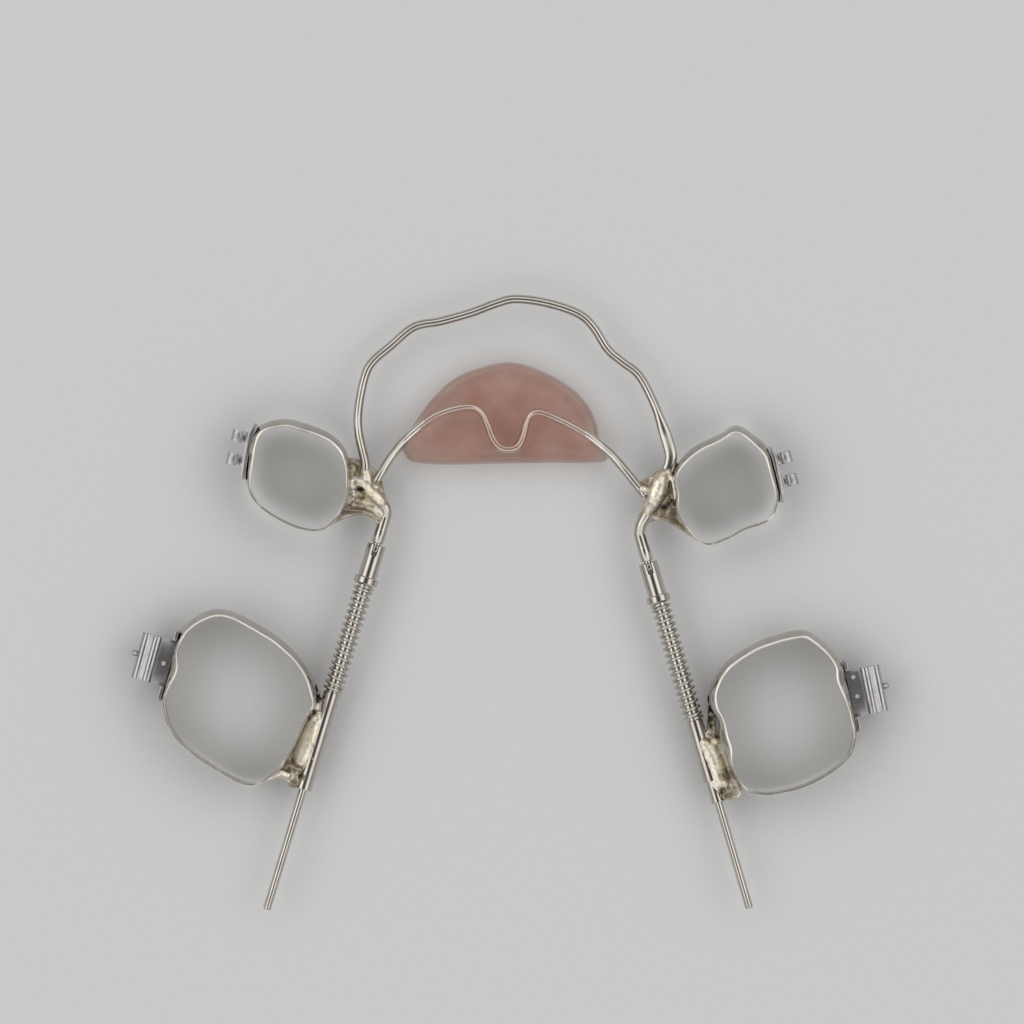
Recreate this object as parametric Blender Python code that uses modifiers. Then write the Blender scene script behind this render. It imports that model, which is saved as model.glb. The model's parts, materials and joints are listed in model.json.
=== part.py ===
"""Molar distalizer: an orthodontic appliance that moves the upper first molars back.

Two premolar bands, a palatal arch wire and an acrylic button on a looped wire are the anchorage.
On each side a bent arm carries a slotted, flanged sleeve, a guide tube and a thin guide rod, with
an open coil spring round the guide tube. The molar unit (band, palatal tube, solder and buccal
tube) slides along the guide tube, pushed by the spring.

The frame: +X to the right and +Y to the front as seen from the biting side, +Z towards the viewer.
The appliance lies with its biting side up. Lengths are in metres, written in millimetres times MM.
"""

import math
from dataclasses import dataclass

import bmesh
import bpy
from mathutils import Matrix, Vector

MM = 0.001

# The width across the molar bands; the plan tables below are drawn for the second value
ARCH_WIDTH = 52.9 * MM
DRAWN_ARCH_WIDTH = 52.9 * MM

# Fits
RUNNING_CLEARANCE = 0.03 * MM
SEAT_GAP = 0.03 * MM
SOLDER_GAP = 0.03 * MM
WELD_GAP = 0.08 * MM
CUTTER_OVERRUN = 3.0 * MM

# Heights above the surface that the appliance lies on
TELESCOPE_HEIGHT = 2.5 * MM
JOINT_HEIGHT = 3.2 * MM
PREMOLAR_BAND_LIFT = 1.0 * MM

# Bands
BAND_WALL = 0.18 * MM
BAND_BELLY = 0.45 * MM
BAND_FESTOON = 0.5 * MM
BAND_DIP = 0.25 * MM
MOLAR_BAND_HEIGHT = 4.8 * MM
PREMOLAR_BAND_HEIGHT = 4.1 * MM
MOLAR_BAND_SAMPLES = 38
PREMOLAR_BAND_SAMPLES = 30
BAND_LEVELS = (0.0, 0.45, 1.0)
BELLY_LEVEL = 0.4

# Wires
ARCH_WIRE_DIAMETER = 0.7 * MM
NANCE_WIRE_DIAMETER = 0.7 * MM
ARM_DIAMETER = 0.8 * MM
ARM_COLLAR_DIAMETER = 0.88 * MM
ARM_NECK_DIAMETER = 0.64 * MM
ARM_COLLAR_LENGTH = 0.75 * MM
ARM_NECK_LENGTH = 0.43 * MM
ARM_PLUG_LENGTH = 1.0 * MM
ARM_NECK_STEP = 0.04 * MM
ARM_STRAIGHT_STARTS = (0.9 * MM, 0.1 * MM)
ARM_SAMPLES = 13
KEY_WIDTH = 0.4 * MM
KEY_LENGTH = 0.5 * MM
KEY_RECESS = 0.12 * MM
KEY_SETBACK = 0.1 * MM
ROD_DIAMETER = 0.62 * MM

# Telescope
SLEEVE_DIAMETER = 1.46 * MM
SLEEVE_LENGTH = 3.23 * MM
SLEEVE_CHAMFER = 0.06 * MM
SLOT_LENGTH = 0.9 * MM
FLANGE_DIAMETER = 1.86 * MM
FLANGE_THICKNESS = 0.6 * MM
FLANGE_CHAMFER = 0.14 * MM
GUIDE_DIAMETER = 1.04 * MM
GUIDE_SEAT_DEPTH = 1.2 * MM
TUBE_WALL = 0.1 * MM
TUBE_SIDES = 16

# Coil spring
SPRING_WIRE_DIAMETER = 0.2 * MM
SPRING_OUTER_DIAMETER = 1.6 * MM
SPRING_END_PITCH = 0.26 * MM
SPRING_POINTS_PER_TURN = 9

# Acrylic button
BUTTON_THICKNESS = 3.0 * MM
BUTTON_SAMPLES = 30

# Solder
SOLDER_THICKNESS = 2.2 * MM
SOLDER_SAMPLES = 18
PREMOLAR_SOLDER_SLUMP = 0.35 * MM
MOLAR_SOLDER_SLOPE = 0.12
MOLAR_SOLDER_TUBE_SIDE = 0.12 * MM
MOLAR_SOLDER_BAND_SIDE = 0.45 * MM
MOLAR_SOLDER_STATIONS = (0.0, 0.33, 0.67, 1.0)

# Bracket on the premolar band
BRACKET_PAD_LENGTH = 3.8 * MM
BRACKET_PAD_SHIFT = 0.25 * MM
BRACKET_PAD_THICKNESS = 0.35 * MM
BRACKET_PAD_HEIGHT = 3.0 * MM
BRACKET_WING_LENGTH = 0.9 * MM
BRACKET_WING_SPACING = 1.8 * MM
BRACKET_DEPTH = 1.2 * MM
BRACKET_HEIGHT = 2.8 * MM
# Half of a tie wing's section from its face inwards, as shares of its depth and half its height
WING_SHAPE = ((1.0, 0.72), (0.84, 0.95), (0.48, 1.0), (0.3, 0.9), (0.3, 0.6))
ARCHWIRE_SLOT = 0.56 * MM
ARCHWIRE_SLOT_DEPTH = 0.71 * MM

# Buccal tube on the molar band
BUCCAL_PLATE_LENGTH = 5.6 * MM
BUCCAL_PLATE_THICKNESS = 0.3 * MM
BUCCAL_PLATE_HEIGHT = 3.0 * MM
BUCCAL_BODY_LENGTH = 3.6 * MM
BUCCAL_BODY_SHIFT = 0.15 * MM
BUCCAL_PLATE_BEDDING = 0.15 * MM
BUCCAL_BLOCK_WIDTH = 0.85 * MM
BUCCAL_BLOCK_HEIGHT = 1.9 * MM
BUCCAL_BLOCK_TOP_SHARE = 0.38
RIDGE_RADIUS = 0.4 * MM
RIDGE_SPACING = 0.78 * MM
RIDGE_STANDOFF_SHARE = 0.9
RIDGE_LEVEL_SHARE = 0.36
RIDGE_DROP_SHARE = 0.3
FLANK_FOOT_SHARES = (0.4, 0.6)
HEADGEAR_BORE_DIAMETER = 1.14 * MM
BUCCAL_TUBE_HEIGHT = 2.5 * MM
HOOK_BALL_DIAMETER = 0.5 * MM
HOOK_STEM_DIAMETER = 0.3 * MM
HOOK_REACH = 0.2 * MM
HOOK_SHIFT = 0.25 * MM

# The palatal arch wire, from the left premolar to the right one, as (x, y, z) in millimetres
ARCH_WIRE_KNOTS = (
    (-11.35, 9.9, 3.2), (-11.25, 10.7, 3.2), (-11.75, 13.0, 2.9), (-11.8, 14.7, 2.6),
    (-11.4, 17.0, 2.3), (-10.8, 18.4, 2.2), (-9.3, 19.75, 2.1), (-7.5, 21.2, 2.2),
    (-5.4, 21.65, 2.3), (-3.1, 22.3, 2.4), (-1.2, 23.0, 2.5), (0.3, 23.35, 2.5),
    (2.7, 23.05, 2.5), (5.1, 22.25, 2.4), (6.3, 21.2, 2.3), (7.4, 19.5, 2.2),
    (8.5, 18.55, 2.1), (9.8, 17.5, 2.2), (10.8, 15.7, 2.4), (11.5, 13.9, 2.7),
    (12.2, 11.7, 3.1), (12.2, 10.7, 3.2), (11.9, 9.9, 3.2),
)
# The looped wire that carries the button
NANCE_WIRE_KNOTS = (
    (-10.4, 9.3, 3.1), (-9.95, 10.1, 3.0), (-9.3, 11.15, 2.7), (-8.4, 12.3, 2.3),
    (-7.2, 13.4, 2.1), (-5.9, 14.35, 2.0), (-4.4, 14.9, 2.0), (-3.1, 15.05, 1.9),
    (-2.3, 14.6, 1.7), (-1.85, 13.7, 1.5), (-1.5, 12.75, 1.4), (-1.0, 12.05, 1.4),
    (-0.25, 11.8, 1.4), (0.5, 12.05, 1.4), (0.9, 12.8, 1.5), (1.15, 13.8, 1.7),
    (1.45, 14.4, 1.9), (2.0, 14.65, 2.0), (2.9, 14.4, 2.0), (4.2, 13.8, 2.1),
    (5.4, 13.15, 2.2), (6.3, 12.55, 2.3), (7.65, 11.4, 2.6), (8.7, 10.2, 2.9),
    (9.75, 8.9, 3.0), (10.3, 8.2, 3.1),
)
# The button's outline, as (x, y) in millimetres
BUTTON_KNOTS = (
    (-8.35, 12.3), (-7.5, 13.8), (-6.1, 15.7), (-4.4, 17.25), (-2.2, 18.15), (0.0, 18.5),
    (2.4, 17.8), (4.5, 16.6), (5.8, 15.3), (6.5, 13.9), (6.8, 12.6), (7.4, 11.4),
    (6.9, 10.8), (3.1, 10.75), (-0.9, 10.7), (-4.8, 10.6), (-7.5, 10.8), (-8.3, 11.5),
)


@dataclass(frozen=True)
class Side:
    """The hand-made sizes of one side, in millimetres where a number has no unit."""

    name: str
    sign: int
    seat: tuple
    heading: float
    spring_length: float
    spring_turns: float
    tube_length: float
    guide_overhang: float
    rod_length: float
    arm_knots: tuple
    premolar_knots: tuple
    molar_knots: tuple
    premolar_solder_knots: tuple
    premolar_solder_slope: tuple
    molar_solder_lead: float
    molar_solder_tail: float
    bracket_place: tuple
    buccal_place: tuple
    buccal_heading: float


LEFT = Side(
    name="left",
    sign=-1,
    seat=(-11.29, 1.35),
    heading=-106.8,
    spring_length=8.64 * MM,
    spring_turns=17.5,
    tube_length=7.8 * MM,
    guide_overhang=-0.4 * MM,
    rod_length=26.1 * MM,
    arm_knots=(
        (-12.1, 9.2, 3.1), (-11.4, 8.85, 3.1), (-10.75, 8.45, 3.0), (-10.1, 7.8, 2.85),
        (-9.68, 7.2, 2.7), (-9.65, 6.75, 2.55),
    ),
    premolar_knots=(
        (-19.1, 13.05), (-17.55, 13.5), (-16.0, 13.2), (-14.25, 12.5), (-13.2, 11.6),
        (-12.75, 10.4), (-12.7, 8.8), (-12.95, 7.5), (-13.6, 6.5), (-14.45, 5.8),
        (-15.7, 5.7), (-17.7, 6.45), (-19.3, 7.55), (-20.0, 8.7), (-20.05, 9.6),
        (-19.9, 10.6), (-19.65, 11.9),
    ),
    molar_knots=(
        (-22.5, -1.1), (-20.75, -1.65), (-18.0, -3.3), (-16.15, -5.3), (-15.3, -7.6),
        (-15.8, -8.6), (-16.5, -10.2), (-17.6, -12.25), (-19.1, -13.6), (-20.3, -13.85),
        (-21.9, -13.15), (-24.55, -11.4), (-26.15, -9.6), (-26.6, -7.75), (-26.25, -6.5),
        (-25.65, -5.2), (-25.65, -3.8), (-25.0, -2.4), (-23.75, -1.45),
    ),
    premolar_solder_knots=(
        (-13.6, 11.3), (-12.3, 11.3), (-10.85, 10.7), (-9.95, 9.6), (-9.85, 8.4),
        (-9.95, 7.75), (-9.65, 7.1), (-9.85, 6.3), (-10.4, 6.1), (-11.3, 6.6),
        (-12.6, 6.35), (-14.3, 5.55), (-14.6, 6.4), (-13.9, 8.0), (-13.7, 9.6),
    ),
    premolar_solder_slope=(-0.05, 0.17),
    molar_solder_lead=0.76 * MM,
    molar_solder_tail=-0.14 * MM,
    bracket_place=(-20.1, 11.5),
    buccal_place=(-26.15, -4.9),
    buccal_heading=-105.2,
)

RIGHT = Side(
    name="right",
    sign=1,
    seat=(11.4, -0.04),
    heading=-73.6,
    spring_length=9.43 * MM,
    spring_turns=19.0,
    tube_length=4.84 * MM,
    guide_overhang=1.73 * MM,
    rod_length=24.5 * MM,
    arm_knots=(
        (12.2, 8.2, 3.1), (11.7, 7.7, 3.1), (11.1, 7.15, 3.0), (10.45, 6.6, 2.85),
        (10.0, 6.0, 2.7), (9.85, 5.4, 2.55),
    ),
    premolar_knots=(
        (17.35, 13.0), (16.2, 12.4), (14.2, 11.4), (13.15, 10.4), (12.7, 9.4),
        (12.85, 8.2), (12.85, 7.15), (13.4, 5.9), (14.3, 4.95), (15.3, 4.6),
        (16.7, 5.1), (18.0, 5.8), (19.25, 6.2), (20.0, 6.8), (20.25, 8.2),
        (19.9, 9.6), (19.5, 11.05), (18.7, 12.0),
    ),
    molar_knots=(
        (22.25, -2.7), (20.0, -3.25), (18.4, -3.95), (16.75, -5.1), (15.85, -6.6),
        (15.8, -8.0), (16.35, -9.1), (16.85, -11.05), (17.0, -12.5), (17.95, -14.2),
        (19.3, -14.6), (21.1, -14.4), (23.35, -13.6), (25.6, -12.05), (26.3, -10.4),
        (26.1, -9.0), (25.6, -7.5), (25.05, -6.1), (24.85, -5.0), (24.2, -3.95),
        (23.2, -3.1),
    ),
    premolar_solder_knots=(
        (13.7, 10.5), (12.6, 10.9), (11.6, 10.5), (10.9, 9.9), (9.95, 9.3), (9.6, 8.5),
        (10.35, 7.4), (10.15, 6.4), (10.6, 6.1), (11.5, 6.3), (12.4, 5.85), (14.0, 4.9),
        (14.5, 5.6), (13.9, 7.1), (13.9, 8.7),
    ),
    premolar_solder_slope=(0.05, 0.17),
    molar_solder_lead=1.87 * MM,
    molar_solder_tail=1.33 * MM,
    bracket_place=(20.2, 10.2),
    buccal_place=(26.1, -7.2),
    buccal_heading=-78.5,
)

SIDES = (LEFT, RIGHT)

# Finishes, as linear colour, roughness and metallic
STAINLESS = ("polished_stainless_steel", (0.62, 0.61, 0.59), 0.18, 1.0)
SPRING_STEEL = ("spring_wire", (0.55, 0.54, 0.52), 0.22, 1.0)
CAST_STEEL = ("cast_stainless_steel", (0.5, 0.49, 0.48), 0.3, 1.0)
SILVER_SOLDER = ("silver_solder", (0.6, 0.52, 0.38), 0.4, 1.0)
ACRYLIC = ("pink_acrylic", (0.72, 0.32, 0.26), 0.15, 0.0)


# Points along curves

def placed(knot):
    """A place of the plan tables as a vector in metres, spread to the arch's width."""
    place = Vector(knot) * MM
    place.x *= ARCH_WIDTH / DRAWN_ARCH_WIDTH
    return place


def in_metres(knots):
    """The knots as vectors in metres."""
    return [placed(knot) for knot in knots]


def between(before, start, end, after, share):
    """A point on the smooth stretch from start to end, at this share of it."""
    square, cube = share * share, share**3
    return 0.5 * (
        2 * start
        + (end - before) * share
        + (2 * before - 5 * start + 4 * end - after) * square
        + (3 * start - before - 3 * end + after) * cube
    )


def dense_curve(knots, closed, steps=12):
    """Many points on one smooth curve through the knots."""
    count = len(knots)
    spans = count if closed else count - 1
    points = []
    for span in range(spans):
        picks = [span - 1, span, span + 1, span + 2]
        if closed:
            picks = [pick % count for pick in picks]
        else:
            picks = [min(max(pick, 0), count - 1) for pick in picks]
        corners = [knots[pick] for pick in picks]
        points += [between(*corners, step / steps) for step in range(steps)]
    points.append((knots[0] if closed else knots[-1]).copy())
    return points


def evenly_spaced(points, count):
    """This many points at equal steps along the path, its ends included."""
    lengths = [0.0]
    for first, second in zip(points, points[1:]):
        lengths.append(lengths[-1] + (second - first).length)
    spaced = []
    place = 0
    for index in range(count):
        target = lengths[-1] * index / (count - 1)
        while place < len(points) - 2 and lengths[place + 1] < target:
            place += 1
        span = lengths[place + 1] - lengths[place]
        share = (target - lengths[place]) / span if span else 0.0
        spaced.append(points[place].lerp(points[place + 1], share))
    return spaced


def open_path(knots, count):
    """Evenly spaced points on a smooth open curve."""
    return evenly_spaced(dense_curve(knots, False), count)


def lengthened(path, reach):
    """The path with both ends moved on by this much."""
    first = path[0] + (path[0] - path[1]).normalized() * reach
    last = path[-1] + (path[-1] - path[-2]).normalized() * reach
    return [first] + path[1:-1] + [last]


def closed_outline(knots, count):
    """Evenly spaced points round a smooth closed curve, each with its outward normal."""
    points = evenly_spaced(dense_curve(knots, True), count + 1)[:-1]
    area = sum(a.x * b.y - b.x * a.y for a, b in zip(points, points[1:] + points[:1]))
    turn = 1 if area > 0 else -1
    normals = []
    for index in range(count):
        along = points[(index + 1) % count] - points[index - 1]
        normals.append(Vector((along.y, -along.x)).normalized() * turn)
    return points, normals


def nearest(points, place):
    """The index of the point nearest to a place."""
    return min(range(len(points)), key=lambda index: (points[index] - place).length)


# Objects

def finish_material(finish):
    """The material of this finish, made once."""
    name, colour, roughness, metallic = finish
    material = bpy.data.materials.get(name)
    if material is None:
        material = bpy.data.materials.new(name)
        material.use_nodes = True
        shader = material.node_tree.nodes["Principled BSDF"]
        shader.inputs["Base Color"].default_value = (*colour, 1.0)
        shader.inputs["Roughness"].default_value = roughness
        shader.inputs["Metallic"].default_value = metallic
        material.diffuse_color = (*colour, 1.0)
    return material


def add_object(name, mesh, collection, finish=None, matrix=None):
    """An object of this mesh, in this collection, at this matrix."""
    body = bpy.data.objects.new(name, mesh)
    collection.objects.link(body)
    if matrix is not None:
        body.matrix_world = matrix
    if finish:
        mesh.materials.append(finish_material(finish))
    else:
        body.hide_render = True
        body.display_type = "WIRE"
    return body


def mesh_from(bm, name, smooth_angle=40.0):
    """A mesh of this bmesh, its faces turned outwards and its round stretches smooth."""
    bmesh.ops.recalc_face_normals(bm, faces=bm.faces)
    mesh = bpy.data.meshes.new(name)
    bm.to_mesh(mesh)
    bm.free()
    mesh.shade_smooth()
    mesh.set_sharp_from_angle(angle=math.radians(smooth_angle))
    return mesh


def mesh_of_curve(curve, name):
    """The mesh of a curve, with its caps joined to its sides."""
    guide = bpy.data.objects.new(name, curve)
    bpy.context.scene.collection.objects.link(guide)
    bpy.context.view_layer.update()
    evaluated = guide.evaluated_get(bpy.context.evaluated_depsgraph_get())
    mesh = bpy.data.meshes.new_from_object(evaluated)
    bpy.data.objects.remove(guide)
    bpy.data.curves.remove(curve)
    bm = bmesh.new()
    bm.from_mesh(mesh)
    bpy.data.meshes.remove(mesh)
    bmesh.ops.remove_doubles(bm, verts=bm.verts, dist=0.0005 * MM)
    return mesh_from(bm, name)


def wire_mesh(name, path, radius, shares=None, resolution=2):
    """A round wire along the path, where shares scale its radius point by point."""
    curve = bpy.data.curves.new(name, "CURVE")
    curve.dimensions = "3D"
    curve.bevel_depth = radius
    curve.bevel_resolution = resolution
    curve.use_fill_caps = True
    spline = curve.splines.new("POLY")
    spline.points.add(len(path) - 1)
    for index, place in enumerate(path):
        spline.points[index].co = (*place, 1.0)
        spline.points[index].radius = shares[index] if shares else 1.0
    return mesh_of_curve(curve, name)


def plate_mesh(name, outlines, thickness):
    """A flat piece of this thickness: the first outline is its edge, the others are holes."""
    curve = bpy.data.curves.new(name, "CURVE")
    curve.dimensions = "2D"
    curve.fill_mode = "BOTH"
    curve.extrude = thickness / 2
    for outline in outlines:
        spline = curve.splines.new("POLY")
        spline.points.add(len(outline) - 1)
        for index, place in enumerate(outline):
            spline.points[index].co = (place[0], place[1], 0.0, 1.0)
        spline.use_cyclic_u = True
    return mesh_of_curve(curve, name)


def ring_of(bm, points):
    """A closed ring of edges through these points."""
    verts = [bm.verts.new(point) for point in points]
    return [bm.edges.new((verts[i - 1], verts[i])) for i in range(len(verts))]


def loft_mesh(name, rings, capped=True):
    """A skin over rings of points, closed by a cap at each end or left open."""
    bm = bmesh.new()
    loops = [ring_of(bm, ring) for ring in rings]
    for first, second in zip(loops, loops[1:]):
        bmesh.ops.bridge_loops(bm, edges=first + second)
    if capped:
        bmesh.ops.contextual_create(bm, geom=loops[0])
        bmesh.ops.contextual_create(bm, geom=loops[-1])
    return mesh_from(bm, name)


def turned_object(name, profile, matrix, collection, finish=None, closed=True):
    """A turned piece: the profile holds (distance from the axis, place along it)."""
    mesh = bpy.data.meshes.new(name)
    points = [(radius, 0.0, place) for radius, place in profile]
    edges = [(index, index + 1) for index in range(len(points) - 1)]
    if closed:
        edges.append((len(points) - 1, 0))
    mesh.from_pydata(points, edges, [])
    body = add_object(name, mesh, collection, finish, matrix)
    screw = body.modifiers.new("Turn", "SCREW")
    screw.steps = TUBE_SIDES
    screw.render_steps = TUBE_SIDES
    screw.use_merge_vertices = True
    screw.merge_threshold = 0.001 * MM
    return body


def cut(body, cutter, name="Cut"):
    """Takes the cutter's space out of the body."""
    modifier = body.modifiers.new(name, "BOOLEAN")
    modifier.operation = "DIFFERENCE"
    modifier.solver = "EXACT"
    modifier.object = cutter


def join(body, other, name="Join"):
    """Adds the other's space to the body."""
    modifier = body.modifiers.new(name, "BOOLEAN")
    modifier.operation = "UNION"
    modifier.solver = "EXACT"
    modifier.object = other


def attach(piece, carrier):
    """Hangs a piece on its carrier without moving it."""
    bpy.context.view_layer.update()
    piece.parent = carrier
    piece.matrix_parent_inverse = carrier.matrix_world.inverted()


# The telescope's own frame: local Z runs back along the rod from the spring's seat, local X is up

def telescope_frame(side, along=0.0):
    """The frame at this distance behind the spring's front seat."""
    angle = math.radians(side.heading)
    back = Vector((math.cos(angle), math.sin(angle), 0.0))
    up = Vector((0.0, 0.0, 1.0))
    across = back.cross(up)
    place = Vector((*placed(side.seat), TELESCOPE_HEIGHT)) + back * along
    turn = Matrix((up, across, back)).transposed().to_4x4()
    return Matrix.Translation(place) @ turn


def tube_start(side):
    """Where the palatal tube begins, behind the spring."""
    return side.spring_length


def tube_end(side):
    """Where the palatal tube ends."""
    return tube_start(side) + side.tube_length


def guide_end(side):
    """Where the guide tube ends."""
    return tube_end(side) + side.guide_overhang


# Bands

def band_height(fraction, low, high, slant):
    """The height of a point on the wall; slant is how far it faces the next tooth."""
    bottom = low + BAND_FESTOON * slant
    top = high - BAND_DIP * slant
    return bottom + (top - bottom) * fraction


def belly(normal):
    """How far the wall swells where it faces this way: most at the front, not at all behind."""
    return BAND_BELLY * ((1.0 + normal.y) / 2) ** 2


def band_ring(outline, fraction, offset, low, high):
    """One ring of the wall, at this fraction of its height and this far outside the tooth."""
    points, normals = outline
    bulge = 1.0 - ((fraction - BELLY_LEVEL) / (1.0 - BELLY_LEVEL)) ** 2
    ring = []
    for point, normal in zip(points, normals):
        place = point + normal * (offset + belly(normal) * bulge)
        ring.append((*place, band_height(fraction, low, high, normal.y**2)))
    return ring


def make_band(name, outline, low, high, collection):
    """A band: the inner face is lofted up through the rings, and the wall lies outside it."""
    rings = [band_ring(outline, level, 0.0, low, high) for level in BAND_LEVELS]
    band = add_object(name, loft_mesh(name, rings, capped=False), collection, STAINLESS)
    wall = band.modifiers.new("Wall", "SOLIDIFY")
    wall.thickness = BAND_WALL
    wall.offset = 1.0
    wall.use_even_offset = True
    return band


def band_room(name, outline, low, high, gap, cutters):
    """The band's outer form with a gap, filled and drawn out above and below."""
    reach = BAND_WALL + gap
    rings = [band_ring(outline, level, reach, low, high) for level in BAND_LEVELS]
    below = [(x, y, z - CUTTER_OVERRUN) for x, y, z in rings[0]]
    above = [(x, y, z + CUTTER_OVERRUN) for x, y, z in rings[-1]]
    mesh = loft_mesh(name, [below] + rings + [above])
    return add_object(name, mesh, cutters)


# Solder and acrylic

def lump_mesh(name, outline, low, high, shape, slope=(0.0, 0.0)):
    """A rounded lump on an outline: shape gives (share of the outline, share of the height)."""
    centre = sum(outline, Vector((0.0, 0.0))) / len(outline)
    rings = []
    for spread, rise in shape:
        ring = []
        for point in outline:
            place = centre + (point - centre) * spread
            lift = rise * (place - centre).dot(Vector(slope))
            ring.append((place.x, place.y, low + (high - low) * rise + lift))
        rings.append(ring)
    return loft_mesh(name, rings)


SOLDER_SHAPE = ((0.86, 0.0), (1.0, 0.35), (0.98, 0.75), (0.82, 1.0))
BUTTON_SHAPE = (
    (0.84, 0.0), (0.96, 0.14), (1.0, 0.34), (0.98, 0.58), (0.9, 0.8), (0.7, 0.94), (0.36, 1.0),
)


def make_premolar_solder(side, pieces, collection):
    """The solder that holds the two wires and the arm to the premolar band."""
    name = f"premolar_solder_{side.name}"
    outline = closed_outline(in_metres(side.premolar_solder_knots), SOLDER_SAMPLES)[0]
    low = JOINT_HEIGHT - SOLDER_THICKNESS / 2
    high = JOINT_HEIGHT + SOLDER_THICKNESS / 2 - PREMOLAR_SOLDER_SLUMP
    mesh = lump_mesh(name, outline, low, high, SOLDER_SHAPE, side.premolar_solder_slope)
    solder = add_object(name, mesh, collection, SILVER_SOLDER)
    for cutter in pieces:
        cut(solder, cutter)
    return solder


def molar_solder_outline(side, band_points):
    """Round the space between the palatal tube and the band's wall."""
    frame = telescope_frame(side)
    start = tube_start(side) + side.molar_solder_lead
    end = tube_end(side) + side.molar_solder_tail
    out = frame.col[1].to_2d() * side_of_band(side)
    tube_side = []
    band_side = []
    for share in MOLAR_SOLDER_STATIONS:
        station = start + (end - start) * share
        on_axis = (frame @ Vector((0.0, 0.0, station))).to_2d()
        reach = distance_to_wall(on_axis, out, band_points)
        tube_side.append(on_axis + out * MOLAR_SOLDER_TUBE_SIDE)
        band_side.append(on_axis + out * (reach + MOLAR_SOLDER_BAND_SIDE))
    return tube_side + band_side[::-1]


def side_of_band(side):
    """+1 or -1: which way along the telescope frame's Y axis the molar band lies."""
    frame = telescope_frame(side)
    return 1 if frame.col[1][0] * side.sign > 0 else -1


def distance_to_wall(on_axis, out, band_points):
    """How far outwards the near wall of the band lies, beside this station of the telescope."""
    along = Vector((-out.y, out.x))
    beside = sorted(band_points, key=lambda point: abs((point - on_axis).dot(along)))
    return min((point - on_axis).dot(out) for point in beside[: len(beside) // 6])


def make_molar_solder(side, band_points, pieces, collection):
    """The solder that holds the palatal tube to the molar band."""
    name = f"molar_solder_{side.name}"
    outline = closed_outline(molar_solder_outline(side, band_points), SOLDER_SAMPLES)[0]
    low = TELESCOPE_HEIGHT - SOLDER_THICKNESS / 2
    high = TELESCOPE_HEIGHT + SOLDER_THICKNESS / 2
    slope = (MOLAR_SOLDER_SLOPE * side.sign, 0.0)
    mesh = lump_mesh(name, outline, low, high, SOLDER_SHAPE, slope)
    solder = add_object(name, mesh, collection, SILVER_SOLDER)
    for cutter in pieces:
        cut(solder, cutter)
    return solder


def make_button(wire_cutter, collection):
    """The acrylic button, moulded round the looped wire."""
    outline = closed_outline(in_metres(BUTTON_KNOTS), BUTTON_SAMPLES)[0]
    mesh = lump_mesh("acrylic_button", outline, 0.0, BUTTON_THICKNESS, BUTTON_SHAPE)
    button = add_object("acrylic_button", mesh, collection, ACRYLIC)
    cut(button, wire_cutter)
    return button


# Wires

def make_wire(name, knots, diameter, count, gap, collection, cutters):
    """A bent wire, and the room that solder or acrylic leaves round it."""
    path = open_path(in_metres(knots), count)
    wire = add_object(name, wire_mesh(name, path, diameter / 2), collection, STAINLESS)
    room = wire_mesh(f"{name}_room", lengthened(path, gap), diameter / 2 + gap)
    return wire, add_object(f"{name}_room", room, cutters)


def arm_path(side):
    """The arm's points and radius shares: a bend, then collar, neck and plug on the axis."""
    frame = telescope_frame(side)
    mouth = -SLEEVE_LENGTH
    neck = mouth - ARM_NECK_LENGTH
    collar = neck - ARM_COLLAR_LENGTH
    straight = [frame @ Vector((0.0, 0.0, collar - start)) for start in ARM_STRAIGHT_STARTS]
    bend = open_path(in_metres(side.arm_knots) + straight, ARM_SAMPLES)
    collar_share = ARM_COLLAR_DIAMETER / ARM_DIAMETER
    neck_share = ARM_NECK_DIAMETER / ARM_DIAMETER
    stations = (
        (collar, collar_share),
        (neck - ARM_NECK_STEP, collar_share),
        (neck, neck_share),
        (mouth + ARM_PLUG_LENGTH, neck_share),
    )
    path = bend + [frame @ Vector((0.0, 0.0, place)) for place, _ in stations]
    shares = [1.0] * len(bend) + [share for _, share in stations]
    return path, shares


def make_arm(side, collection, cutters):
    """The bent arm with its collar, neck, plug and the key that sits in the sleeve's slot."""
    name = f"distal_arm_{side.name}"
    path, shares = arm_path(side)
    arm = add_object(name, wire_mesh(name, path, ARM_DIAMETER / 2, shares), collection, STAINLESS)
    key_top = SLEEVE_DIAMETER / 2 - KEY_RECESS
    centre = Vector((key_top / 2, 0.0, KEY_SETBACK + KEY_LENGTH / 2 - SLEEVE_LENGTH))
    key = box_object(
        f"{name}_key", (key_top, KEY_WIDTH, KEY_LENGTH), centre, telescope_frame(side), cutters
    )
    join(arm, key)
    bend = lengthened(path[:ARM_SAMPLES], SOLDER_GAP)
    room = wire_mesh(f"{name}_room", bend, ARM_DIAMETER / 2 + SOLDER_GAP)
    return arm, add_object(f"{name}_room", room, cutters)


def box_object(name, size, centre, frame, collection, finish=None):
    """A box of this size, centred at a place in a frame."""
    bm = bmesh.new()
    bmesh.ops.create_cube(bm, size=1.0)
    bmesh.ops.scale(bm, vec=size, verts=bm.verts)
    bmesh.ops.translate(bm, vec=centre, verts=bm.verts)
    return add_object(name, mesh_from(bm, name), collection, finish, frame)


# Telescope pieces

def tube_profile(outer, inner, start, end):
    """The wall's section, down its outer side and back up its inner one."""
    return ((outer, end), (outer, start), (inner, start), (inner, end))


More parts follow.
